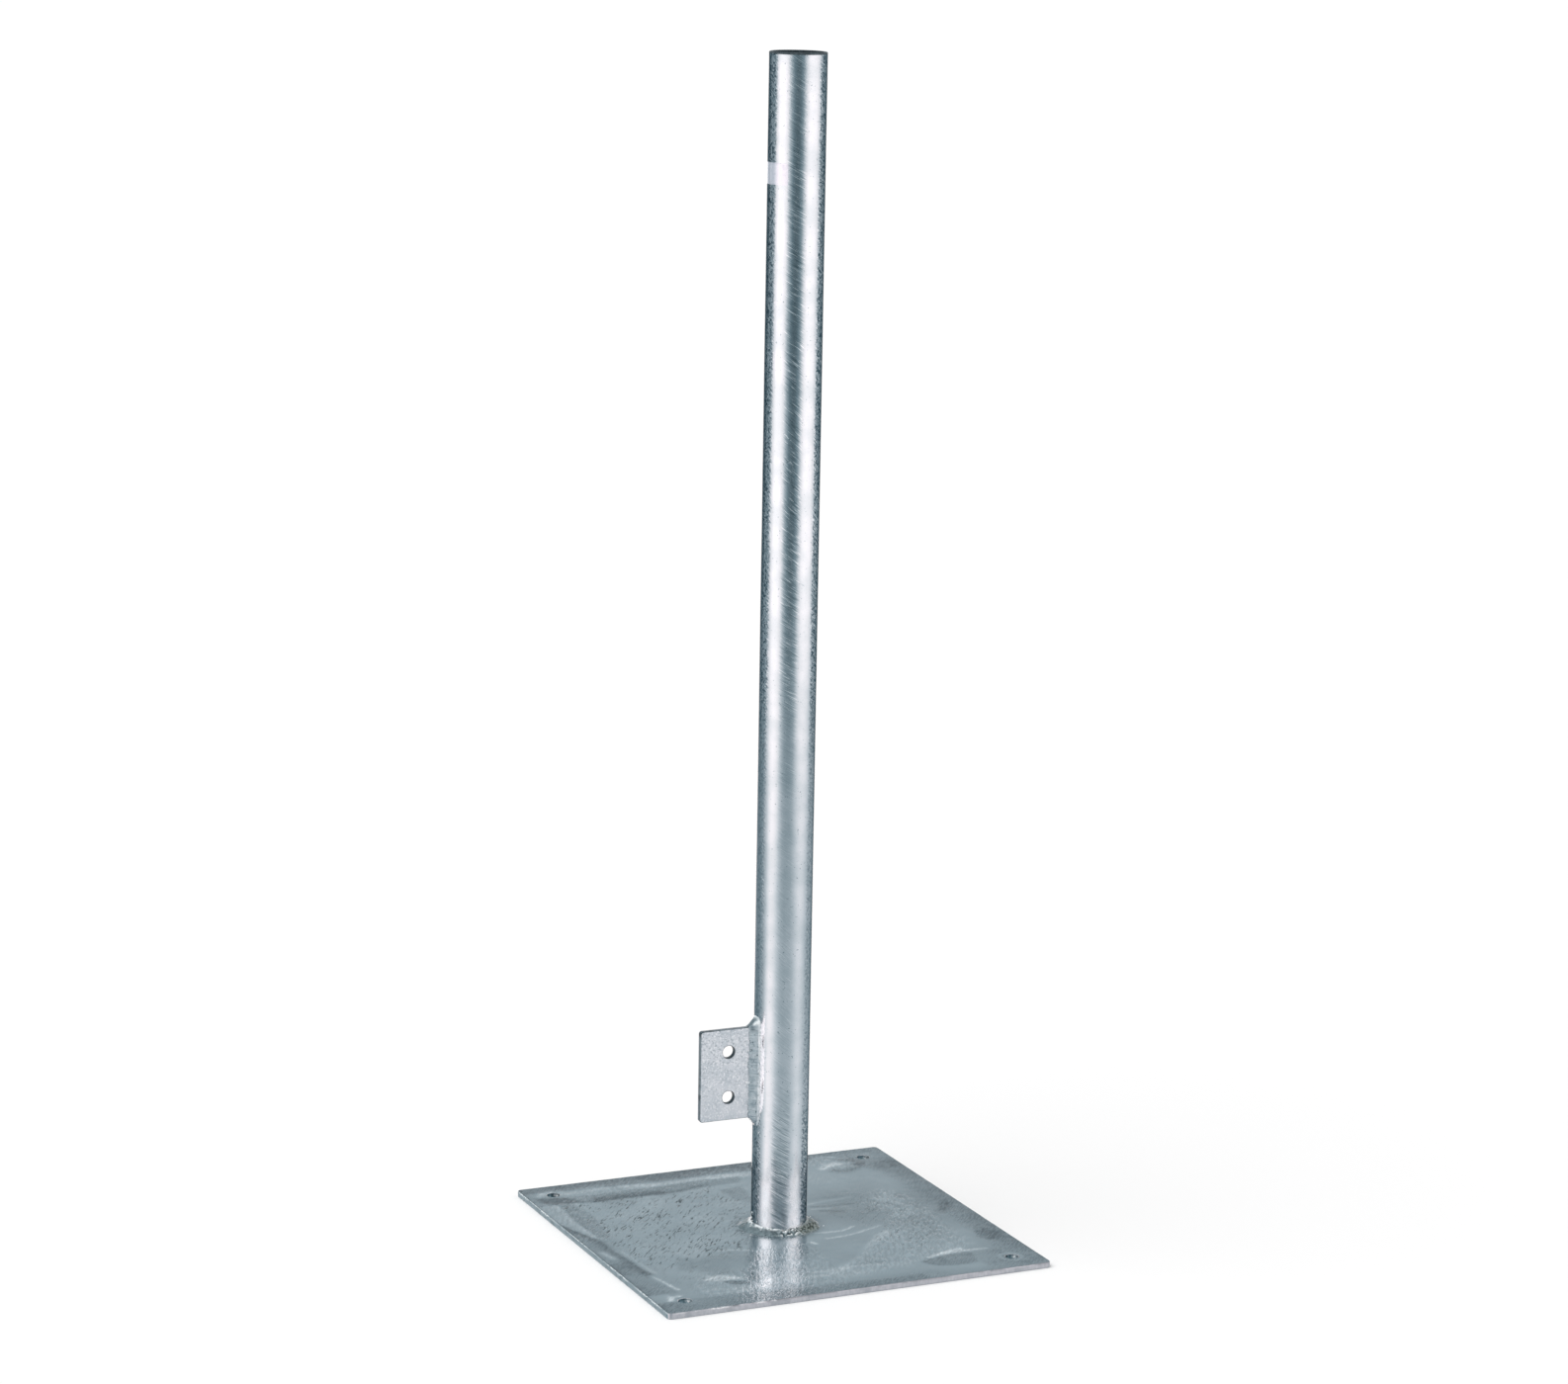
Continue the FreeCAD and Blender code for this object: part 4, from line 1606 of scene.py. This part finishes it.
    def _drops(self) -> Surface:
        """Make the spatter: drops on the tube, on the bead and on the plate, and a splash up one side.

        Returns:
            All drops as one surface, painted white as glints. Some of the splash's are dark.
        """
        draw = np.random.default_rng(33)
        count = self.spatter + self.splash
        splash = np.arange(count) >= self.spatter
        turn = draw.uniform(0, 2 * np.pi, count)
        spread = draw.uniform(-self.splash_half, self.splash_half, self.splash)
        turn[splash] = np.radians(self.splash_angle + spread)
        out, up, _ = self._legs(turn)
        size = draw.uniform(*self.spatter_size, count) * np.where(splash, 1.3, 1)
        on_tube, kinds = 0, 3
        kind = np.where(splash, on_tube, draw.integers(0, kinds, count))
        reach = np.choose(kind, [0 * out, 0.4 * out, out + draw.uniform(0.5, 4, count)])
        splashed = self.splash_climb * draw.uniform(0, 1, count) ** 1.2
        climb = np.where(splash, splashed, draw.uniform(0.2, 4, count))
        height = np.choose(kind, [up + climb, 0.6 * up + 0.5, 0 * up])
        radius, level = self.sizes.tube_radius + reach * MM, self.sizes.plate_top + height * MM
        centres = np.stack([radius * np.cos(turn), radius * np.sin(turn), level], -1)
        radial = np.stack([np.cos(turn), np.sin(turn), 0 * turn], -1)
        flat = np.where((kind == on_tube)[:, None], radial, np.array(UP))
        surface = drops(centres, size * MM, flat)
        # The drops are painted white as glints, and some of the splash's dark instead
        dark = np.repeat(splash & (draw.uniform(0, 1, count) < self.dark_drops), len(surface.points) // count)
        surface.values["spatter"] *= ~dark
        surface.values["crater"] = 0.9 * dark
        return surface


@dataclass
class LugWeld:
    """Hand-laid bead all round the lug's foot, from a toe on the lug to a raised lip on the tube.

    Its lengths are in millimetres.
    """

    sizes: SleeveSizes
    rows: int = 22
    side_points: int = 150
    end_points: int = 12
    corner_points: int = 12
    side_leg: float = 4.4
    end_leg: float = 8.2
    toe: float = 0.35
    skin_width: float = 8.0
    rough: tuple[Waves, ...] = (Waves(0.3, 9, 41), Waves(0.16, 3, 42, 30))
    ripple: float = 0.12
    pitch: float = 2.6
    sag: float = 0.5
    lip: float = 0.35
    lip_place: float = 0.95
    lip_waves: Waves = Waves(0.6, 6, 43)
    toe_waves: tuple[Waves, ...] = (Waves(0.6, 8, 44), Waves(0.35, 3, 45))
    toe_at_ends: float = 0.9
    lapped: float = 0.15
    glow_waves: Waves = Waves(0.3, 8, 46)
    outline_waves: Waves = Waves(0.5, 9, 48)
    toe_drops: int = 8
    cluster_drops: int = 5
    cluster_height: float = 137.0
    drop_brightness: float = 0.45

    def _outline(self) -> tuple[np.ndarray, np.ndarray]:
        """Walk round the lug's section: along each side, and on the spot at a corner while the normal turns.

        Returns:
            Places (y, z) from the section's middle, in millimetres, and outward normals.
        """
        half = (self.sizes.lug_half_thickness / MM, (self.sizes.lug_top - self.sizes.lug_bottom) / 2 / MM)
        places, normals = [], []
        for quarter in range(4):
            angle = quarter * np.pi / 2
            way = np.array([math.cos(angle), math.sin(angle)])
            side = np.array([-way[1], way[0]])
            long = abs(side @ half)
            count = self.end_points if quarter % 2 else self.side_points
            run = np.linspace(-long, long, count, endpoint=False)
            places.append(way * abs(way @ half) + run[:, None] * side)
            normals.append(np.tile(way, (count, 1)))
            bend = angle + np.linspace(0, np.pi / 2, self.corner_points, endpoint=False)
            places.append(np.tile(way * abs(way @ half) + side * long, (self.corner_points, 1)))
            normals.append(np.stack([np.cos(bend), np.sin(bend)], -1))
        return np.concatenate(places), np.concatenate(normals)

    def _shade(self, core: np.ndarray, normals: np.ndarray, t: np.ndarray,
               skin: np.ndarray) -> tuple[np.ndarray, np.ndarray]:
        """Work out where the bead has a painted highlight and where it is painted dark as shade.

        It has a painted highlight along the lip on the tube, most broadly near its top, and on the shoulder
        at the top in front. It is painted dark as shade along its toe, along a line before the lip, in a
        recess at the top in front and on top.

        Args:
            core: the outline's places.
            normals: the outline's normals.
            t: the rows' shares of the way to the tube, as a column.
            skin: the places at which the fields of waves are read.

        Returns:
            The painted highlight's share and the painted shade's share at each point.
        """
        from_top = core[:, 1].max() - core[:, 1]
        broad = 0.07 + 0.10 * np.exp(-from_top / 8)
        glow = np.clip(0.7 + self.glow_waves.at(skin), 0, 1) * faded(t - 0.97, broad)
        shoulder = faded(normals[:, 1] - 0.62, 0.28) * np.clip(4 * t - 1.2, 0, 1) * (normals[:, 0] < 0)
        recess = faded(from_top - 1.5, 2.4) * faded(t - 0.38, 0.28) * (normals[:, 0] < -0.6)
        lines = 0.5 * faded(t, 0.09) + 0.35 * faded(t - 0.78, 0.07)
        lines = lines * np.clip(0.8 + self.outline_waves.at(skin), 0, 1)
        on_top = 0.85 * (normals[:, 1] > 0.93) * (t < 0.9)
        # Painted shade; the glow and the shoulder are a painted highlight
        dark = np.maximum(np.maximum(0.85 * recess, lines), on_top) * (1 - shoulder)
        return np.maximum(glow, shoulder), dark

    def build(self, finish: bpy.types.Material) -> bpy.types.Object:
        """Make the bead: the lug's outline, pushed out along its normals more and more towards the tube.

        At a share t of the way, the push is the toe plus the leg times t, less a sag of sin(pi * t), plus
        ripples along the bead, rough waves and a lip near the tube. The last row lies on the tube's round
        face, and three more rows close the bead inside the metal.

        Args:
            finish: the bead's material.

        Returns:
            The piece.
        """
        s = self.sizes
        tube = s.tube_radius / MM
        core, normals = self._outline()
        legs = np.array([self.side_leg, self.end_leg])
        walk = np.cumsum(np.linalg.norm(np.diff(core + normals * legs, axis=0, prepend=core[:1]), axis=1))
        t = np.linspace(0, 1, self.rows)[:, None]
        skin = np.stack([t * self.skin_width + 0 * walk, core[:, 0] + 0 * t, core[:, 1] + 0 * t], -1) * MM
        ridge = self.ripple * np.sin(2 * np.pi * walk / self.pitch + 4 * (t - 0.5) ** 2)
        uneven = 0.3 * rippled(skin, self.rough) + ridge - self.sag
        lip = self.lip * faded(t - self.lip_place, 0.08) * (1 + self.lip_waves.at(skin))
        push = self.toe + uneven * np.sin(np.pi * t) + lip
        off = core[None] + normals[None] * (push[..., None] + t[..., None] * legs)
        toe_x = rippled(skin[:1], self.toe_waves, s.lug_weld_toe / MM)
        toe_x = toe_x + self.toe_at_ends * np.abs(normals[:, 1])
        widest = 20
        tube_x = -np.sqrt(tube ** 2 - np.clip(off[..., 0], -widest, widest) ** 2)
        x = toe_x * (1 - t) + (tube_x + self.lapped) * t
        inner = core * np.array([0.5, 0.97])
        off = np.concatenate([off, np.stack([off[-1] * 0.85, inner, inner])])
        x = np.concatenate([x, np.stack([tube_x[-1] + 1.2, 0 * walk - tube + 1.2, toe_x[0] + 1.0])])
        points = np.stack([x, off[..., 0], off[..., 1] + (s.lug_top + s.lug_bottom) / 2 / MM], -1) * MM
        quads = ring_quads(len(points), len(core))
        hidden = np.zeros((len(x) - self.rows, len(walk)))
        # The first share is kept as the painted highlight, the second as the painted shade
        values = {name: np.concatenate([numbers, hidden]).ravel()
                  for name, numbers in zip(("crest", "crater"), self._shade(core, normals, t, skin))}
        surface = Surface(points.reshape(-1, 3), quads, np.zeros(len(quads), int), values).outwards()
        surface = surface.joined(self._drops())
        return build_piece("lug_weld_zinced", surface, [finish], "lug_weld")

    def _drops(self) -> Surface:
        """Make the spatter along the bead's toe on the lug's front face, with one cluster of larger drops.

        Returns:
            All drops as one surface.
        """
        s = self.sizes
        draw = np.random.default_rng(47)
        along = draw.uniform(s.lug_bottom, s.lug_top, self.toe_drops)
        height = np.r_[along, self.cluster_height * MM + draw.uniform(-1, 1, self.cluster_drops) * MM]
        place = s.lug_weld_toe + draw.uniform(-1.6, 0.6, len(height)) * MM
        small = draw.uniform(0.25, 0.45, self.toe_drops)
        size = np.r_[small, draw.uniform(0.6, 1.1, self.cluster_drops)] * MM
        centres = np.stack([place, -s.lug_half_thickness - 0.4 * size, height], -1)
        surface = drops(centres, size, np.tile([0.0, -1.0, 0.0], (len(height), 1)))
        # The drops are painted partly white, as glints
        surface.values["spatter"] *= self.drop_brightness
        return surface


@dataclass
class BlankLabel:
    """Plain film stuck round part of the tube near its top."""

    sizes: SleeveSizes
    bottom: float = 902 * MM
    top: float = 920 * MM
    start: float = math.radians(-130.2)
    length: float = 42 * MM
    film: float = 0.12 * MM
    corner: float = 1.5 * MM
    edge: float = 0.04 * MM
    cell: float = 1.2 * MM
    support: float = 0.1 * MM

    def build(self, finish: bpy.types.Material) -> bpy.types.Object:
        """Make the label: a thin slab wrapped round the tube.

        Args:
            finish: the film's material.

        Returns:
            The piece.
        """
        radius = self.sizes.tube_radius
        slab = Slab((-self.length, self.bottom), (0.0, self.top), self.film, self.corner, self.edge, (),
                    self.cell, support=self.support)

        def wrapped(u: np.ndarray, v: np.ndarray, w: np.ndarray) -> np.ndarray:
            """Place at arc u, height v and w above the tube."""
            turn = self.start + u / radius
            return np.stack([(radius + w) * np.cos(turn), (radius + w) * np.sin(turn), v], -1)

        surface = slab.surface(wrapped)
        return build_piece("blank_label", surface, [finish, finish])


# Studio


@dataclass(frozen=True)
class Level:
    """Light from the studio's wall at a turn in degrees to the right of the camera.

    It is given low down, further up, and as seen by a second reflection.
    """

    turn: float
    low: float
    high: float
    twice: float


@dataclass(frozen=True)
class LightTent:
    """Round studio wall seen only in reflections: tall soft boxes left and right, dim cloth between them.

    Low on the wall the pale floor evens the light out, and so does the ceiling high up. Dim parts are a
    cooler colour and bright parts a warmer one, which keeps shadows in the zinc blue-green and its lights
    neutral. Light that arrives by a second reflection has levels of its own, for the clear mirror image where
    tube and plate meet.
    """

    radius: float = 6.0
    bottom: float = -4.0
    top: float = 9.0
    low_height: float = -1.20
    high_height: float = -0.45
    even_from: float = 0.75
    even_to: float = 1.6
    even_base: float = 0.74
    even_share: float = 0.06
    columns: int = 240
    rows: int = 66
    tint_levels: tuple[float, ...] = (0.4, 0.85, 2.0, 6.0)
    reds: tuple[float, ...] = (0.76, 0.96, 1.17, 1.34)
    blues: tuple[float, ...] = (1.10, 1.02, 0.96, 0.90)
    levels: tuple[Level, ...] = (
        Level(-180, 3.00, 1.80, 2.60), Level(-168, 3.50, 1.80, 2.60), Level(-156, 2.80, 1.10, 2.40),
        Level(-144, 1.32, 0.46, 2.25), Level(-132, 0.72, 0.30, 1.20), Level(-126, 0.62, 0.34, 1.20),
        Level(-120, 0.57, 0.95, 1.50), Level(-114, 0.62, 0.48, 1.00), Level(-104, 0.74, 0.45, 0.88),
        Level(-96, 0.68, 0.76, 1.12), Level(-84, 0.98, 1.85, 3.30), Level(-72, 1.56, 2.52, 6.90),
        Level(-60, 1.98, 2.54, 7.50), Level(-48, 1.92, 2.44, 7.50), Level(-36, 1.66, 1.98, 5.80),
        Level(-24, 1.26, 0.92, 3.05), Level(-12, 1.00, 0.37, 1.90), Level(0, 0.90, 0.26, 1.70),
        Level(12, 0.92, 0.29, 1.78), Level(24, 0.93, 0.62, 2.00), Level(36, 1.02, 1.70, 3.60),
        Level(48, 1.24, 2.34, 5.40), Level(60, 1.48, 2.44, 6.10), Level(72, 1.52, 2.34, 6.20),
        Level(84, 1.36, 2.22, 5.40), Level(96, 1.14, 1.68, 3.20), Level(108, 0.94, 0.82, 1.95),
        Level(120, 0.96, 0.62, 1.70), Level(132, 1.30, 0.70, 1.90), Level(144, 1.28, 0.60, 2.20),
        Level(156, 1.36, 1.05, 2.40), Level(168, 1.85, 1.75, 2.60), Level(180, 3.00, 1.80, 2.60),
    )

    def _rise(self, heights: np.ndarray, start: float, end: float) -> np.ndarray:
        """Column of shares that go smoothly from 0 at one height to 1 at another."""
        share = np.clip((heights - start) / (end - start), 0, 1)[:, None]
        return share * share * (3 - 2 * share)

    def _light(self, turns: np.ndarray, heights: np.ndarray) -> tuple[np.ndarray, np.ndarray]:
        """Work out the wall's light: its levels mixed by height, and evened out high up.

        Args:
            turns: turns to the right of the camera, in degrees.
            heights: heights above the floor.

        Returns:
            Level seen by a first reflection and by a second one, a row for each height.
        """
        share = self._rise(heights, self.low_height, self.high_height)
        even = self._rise(heights, self.even_from, self.even_to)
        known = [level.turn for level in self.levels]
        low, high, twice = (np.interp(turns, known, [getattr(level, part) for level in self.levels])
                            for part in ("low", "high", "twice"))
        once = low * (1 - share) + high * share
        once = once * (1 - even) + (self.even_base + self.even_share * once) * even
        return once, twice + 0 * share

    def _material(self) -> bpy.types.Material:
        """Make the wall's material: it gives off the light that is kept at the wall's corners.

        Returns:
            The material. It is never sampled as a lamp, because only reflections see it.
        """
        material = bpy.data.materials.new("studio_wall_light")
        tree = bare_tree(material)
        once, twice = (add(tree, "ShaderNodeAttribute", {"attribute_name": name}).outputs["Color"]
                       for name in ("once", "twice"))
        depth = add(tree, "ShaderNodeLightPath").outputs["Glossy Depth"]
        span = {"Value": depth, "From Min": 1.0, "From Max": 2.0}
        second = add(tree, "ShaderNodeMapRange", None, span).outputs["Result"]
        inputs = {MIX_SHARE: second, MIX_FIRST: once, MIX_SECOND: twice}
        seen = add(tree, "ShaderNodeMix", {"data_type": "RGBA"}, inputs).outputs[MIX_COLOUR]
        shown = add(tree, "ShaderNodeEmission", None, {"Color": seen})
        add(tree, "ShaderNodeOutputMaterial", None, {"Surface": shown.outputs[0]})
        material.cycles.emission_sampling = "NONE"
        return material

    def build(self, facing: float) -> None:
        """Make the wall, with its light kept at its corners.

        Args:
            facing: direction of the camera from the object, in radians.
        """
        turns = np.linspace(-180, 180, self.columns, endpoint=False)
        heights = np.linspace(self.bottom, self.top, self.rows)
        angle, level = facing + np.radians(turns), 0 * heights[:, None]
        places = np.stack([self.radius * np.cos(angle) + level, self.radius * np.sin(angle) + level,
                           heights[:, None] + 0 * turns], -1)
        mesh = bpy.data.meshes.new("light_tent")
        quads = ring_quads(self.rows, self.columns)[:-self.columns]
        mesh.from_pydata(places.reshape(-1, 3).tolist(), [], quads.tolist())
        for name, light in zip(("once", "twice"), self._light(turns, heights)):
            red, blue = (light * np.interp(light, self.tint_levels, tint) for tint in (self.reds, self.blues))
            colour = np.stack([red, light, blue, np.ones_like(light)], -1)
            mesh.attributes.new(name, "FLOAT_COLOR", "POINT").data.foreach_set("color", colour.ravel())
        mesh.materials.append(self._material())
        tent = show("light_tent", mesh)
        for ray in ("camera", "diffuse", "transmission", "volume_scatter", "shadow"):
            setattr(tent, f"visible_{ray}", False)


@dataclass(frozen=True)
class Studio:
    """Pale floor, soft light and the camera at the photograph's angle.

    The camera's frame, focal length and optical centre are in the photograph's pixels.
    """

    camera_place: tuple[float, float, float] = (-1.4808, -3.2996, 1.2044)
    elevation: float = math.radians(11.363)
    azimuth: float = math.radians(-26.193)
    roll: float = math.radians(1.378)
    frame_width: float = 1586.0
    focal: float = 4426.6
    optical_centre: float = 950.0
    sensor: float = 36.0
    floor_half: float = 40.0
    floor_level: float = -0.2 * MM
    floor_colour: Colour = (0.97, 0.97, 0.97, 1.0)
    ambient: float = 0.55
    sun_share: float = 0.5
    sun_width: float = math.radians(50)
    sun_height: float = math.radians(58)
    sun_turn: float = math.radians(-60)
    tent: LightTent = LightTent()

    def build(self) -> None:
        """Make the camera, the lights, the world and the floor."""
        self._camera()
        facing = math.atan2(self.camera_place[1], self.camera_place[0])
        self.tent.build(facing)
        self._sun(facing)
        self._world()
        self._floor()
        bpy.context.scene.view_settings.view_transform = "Standard"

    def _camera(self) -> None:
        """Make the camera: its axes follow from its angles, and its shift from the photograph's crop."""
        sin, cos = math.sin, math.cos
        a, e, r = self.azimuth, self.elevation, self.roll
        back = np.array([sin(a) * cos(e), -cos(a) * cos(e), sin(e)])
        level = np.array([cos(a), sin(a), 0.0])
        upright = np.cross(back, level)
        right, up = cos(r) * level + sin(r) * upright, -sin(r) * level + cos(r) * upright
        data = bpy.data.cameras.new("camera")
        data.sensor_width = self.sensor
        data.lens = self.focal / self.frame_width * self.sensor
        data.shift_x = (self.frame_width / 2 - self.optical_centre) / self.frame_width
        matrix = Matrix.Identity(4)
        for i in range(3):
            matrix[i][:] = (right[i], up[i], back[i], self.camera_place[i])
        camera = show("camera", data)
        camera.matrix_world = matrix
        bpy.context.scene.camera = camera

    def _sun(self, facing: float) -> None:
        """Wide soft key light for matt surfaces, kept out of reflections, from the camera's upper left.

        Args:
            facing: direction of the camera from the object, in radians.
        """
        data = bpy.data.lights.new("key_light", "SUN")
        data.energy = self.sun_share * math.pi / math.sin(self.sun_height)
        data.angle = self.sun_width
        turn, tilt = facing + self.sun_turn + math.pi / 2, math.pi / 2 - self.sun_height
        sun = show("key_light", data)
        sun.matrix_world = Matrix.Rotation(turn, 4, "Z") @ Matrix.Rotation(tilt, 4, "X")
        sun.visible_glossy = False

    def _world(self) -> None:
        """White where the camera, a reflection or a clear piece sees it, and soft ambient light elsewhere."""
        world = bpy.data.worlds.new("studio")
        tree = bare_tree(world)
        path = add(tree, "ShaderNodeLightPath")
        seen = path.outputs["Is Camera Ray"]
        for ray in ("Is Glossy Ray", "Is Transmission Ray"):
            either = {0: seen, 1: path.outputs[ray]}
            seen = add(tree, "ShaderNodeMath", {"operation": "MAXIMUM"}, either).outputs[0]
        strength = total(tree, self.ambient, [(seen, 1 - self.ambient)])
        light = add(tree, "ShaderNodeBackground", None, {"Color": (1, 1, 1, 1), "Strength": strength})
        add(tree, "ShaderNodeOutputWorld", None, {"Surface": light.outputs[0]})
        bpy.context.scene.world = world

    def _floor(self) -> None:
        """Wide white floor that takes the object's shadow and isn't mirrored in the metal."""
        half = self.floor_half
        corners = [(x * half, y * half, self.floor_level) for x, y in ((-1, -1), (1, -1), (1, 1), (-1, 1))]
        mesh = bpy.data.meshes.new("floor")
        mesh.from_pydata(corners, [], [(0, 1, 2, 3)])
        material = bpy.data.materials.new("white_floor")
        tree = bare_tree(material)
        shader = add(tree, "ShaderNodeBsdfDiffuse", None, {"Color": self.floor_colour})
        add(tree, "ShaderNodeOutputMaterial", None, {"Surface": shader.outputs[0]})
        mesh.materials.append(material)
        floor = show("floor", mesh)
        floor.visible_glossy = False


def main() -> None:
    """Load the frame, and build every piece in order."""
    logging.basicConfig(level=logging.INFO, format="%(name)s: %(message)s")
    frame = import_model()
    sizes = SleeveSizes.of(frame)
    Studio().build()
    edge, weld = CutEdge().material(), ZincedWeld().material()
    # What these give the eye: a pale bead on the lug, bolt holes painted dark as their shade, an edge on the
    # plate's left side painted darker as its shade, and edges on the lug that are darker than the plate's
    # front edge
    lug_weld = ZincedWeld("hot_dip_zinc_on_lug_weld", "#A9B6BD", "#BCC7CD", "#66777E").material()
    bore = ShadedBore().material()
    hole = CutEdge("hot_dip_zinc_in_bolt_hole", "#4F6670", "#6E858F", "#2C424A").material()
    left = CutEdge("hot_dip_zinc_on_left_edge", "#80939B", "#8FA0A8", "#6E828A").material()
    lug_edge = CutEdge("hot_dip_zinc_on_lug_edge", "#5F6C73", "#7C888F", "#445056", metal=0.9).material()
    BasePlate(sizes).build(GalvanisedPlate().material(), edge, hole, left)
    PostTube(sizes).build(GalvanisedTube().material(), bore)
    BoltingLug(sizes).build(GalvanisedLug().material(), lug_edge)
    FootWeld(sizes).build(weld)
    LugWeld(sizes).build(lug_weld)
    BlankLabel(sizes).build(LabelFilm().material())


if __name__ == "__main__":
    main()
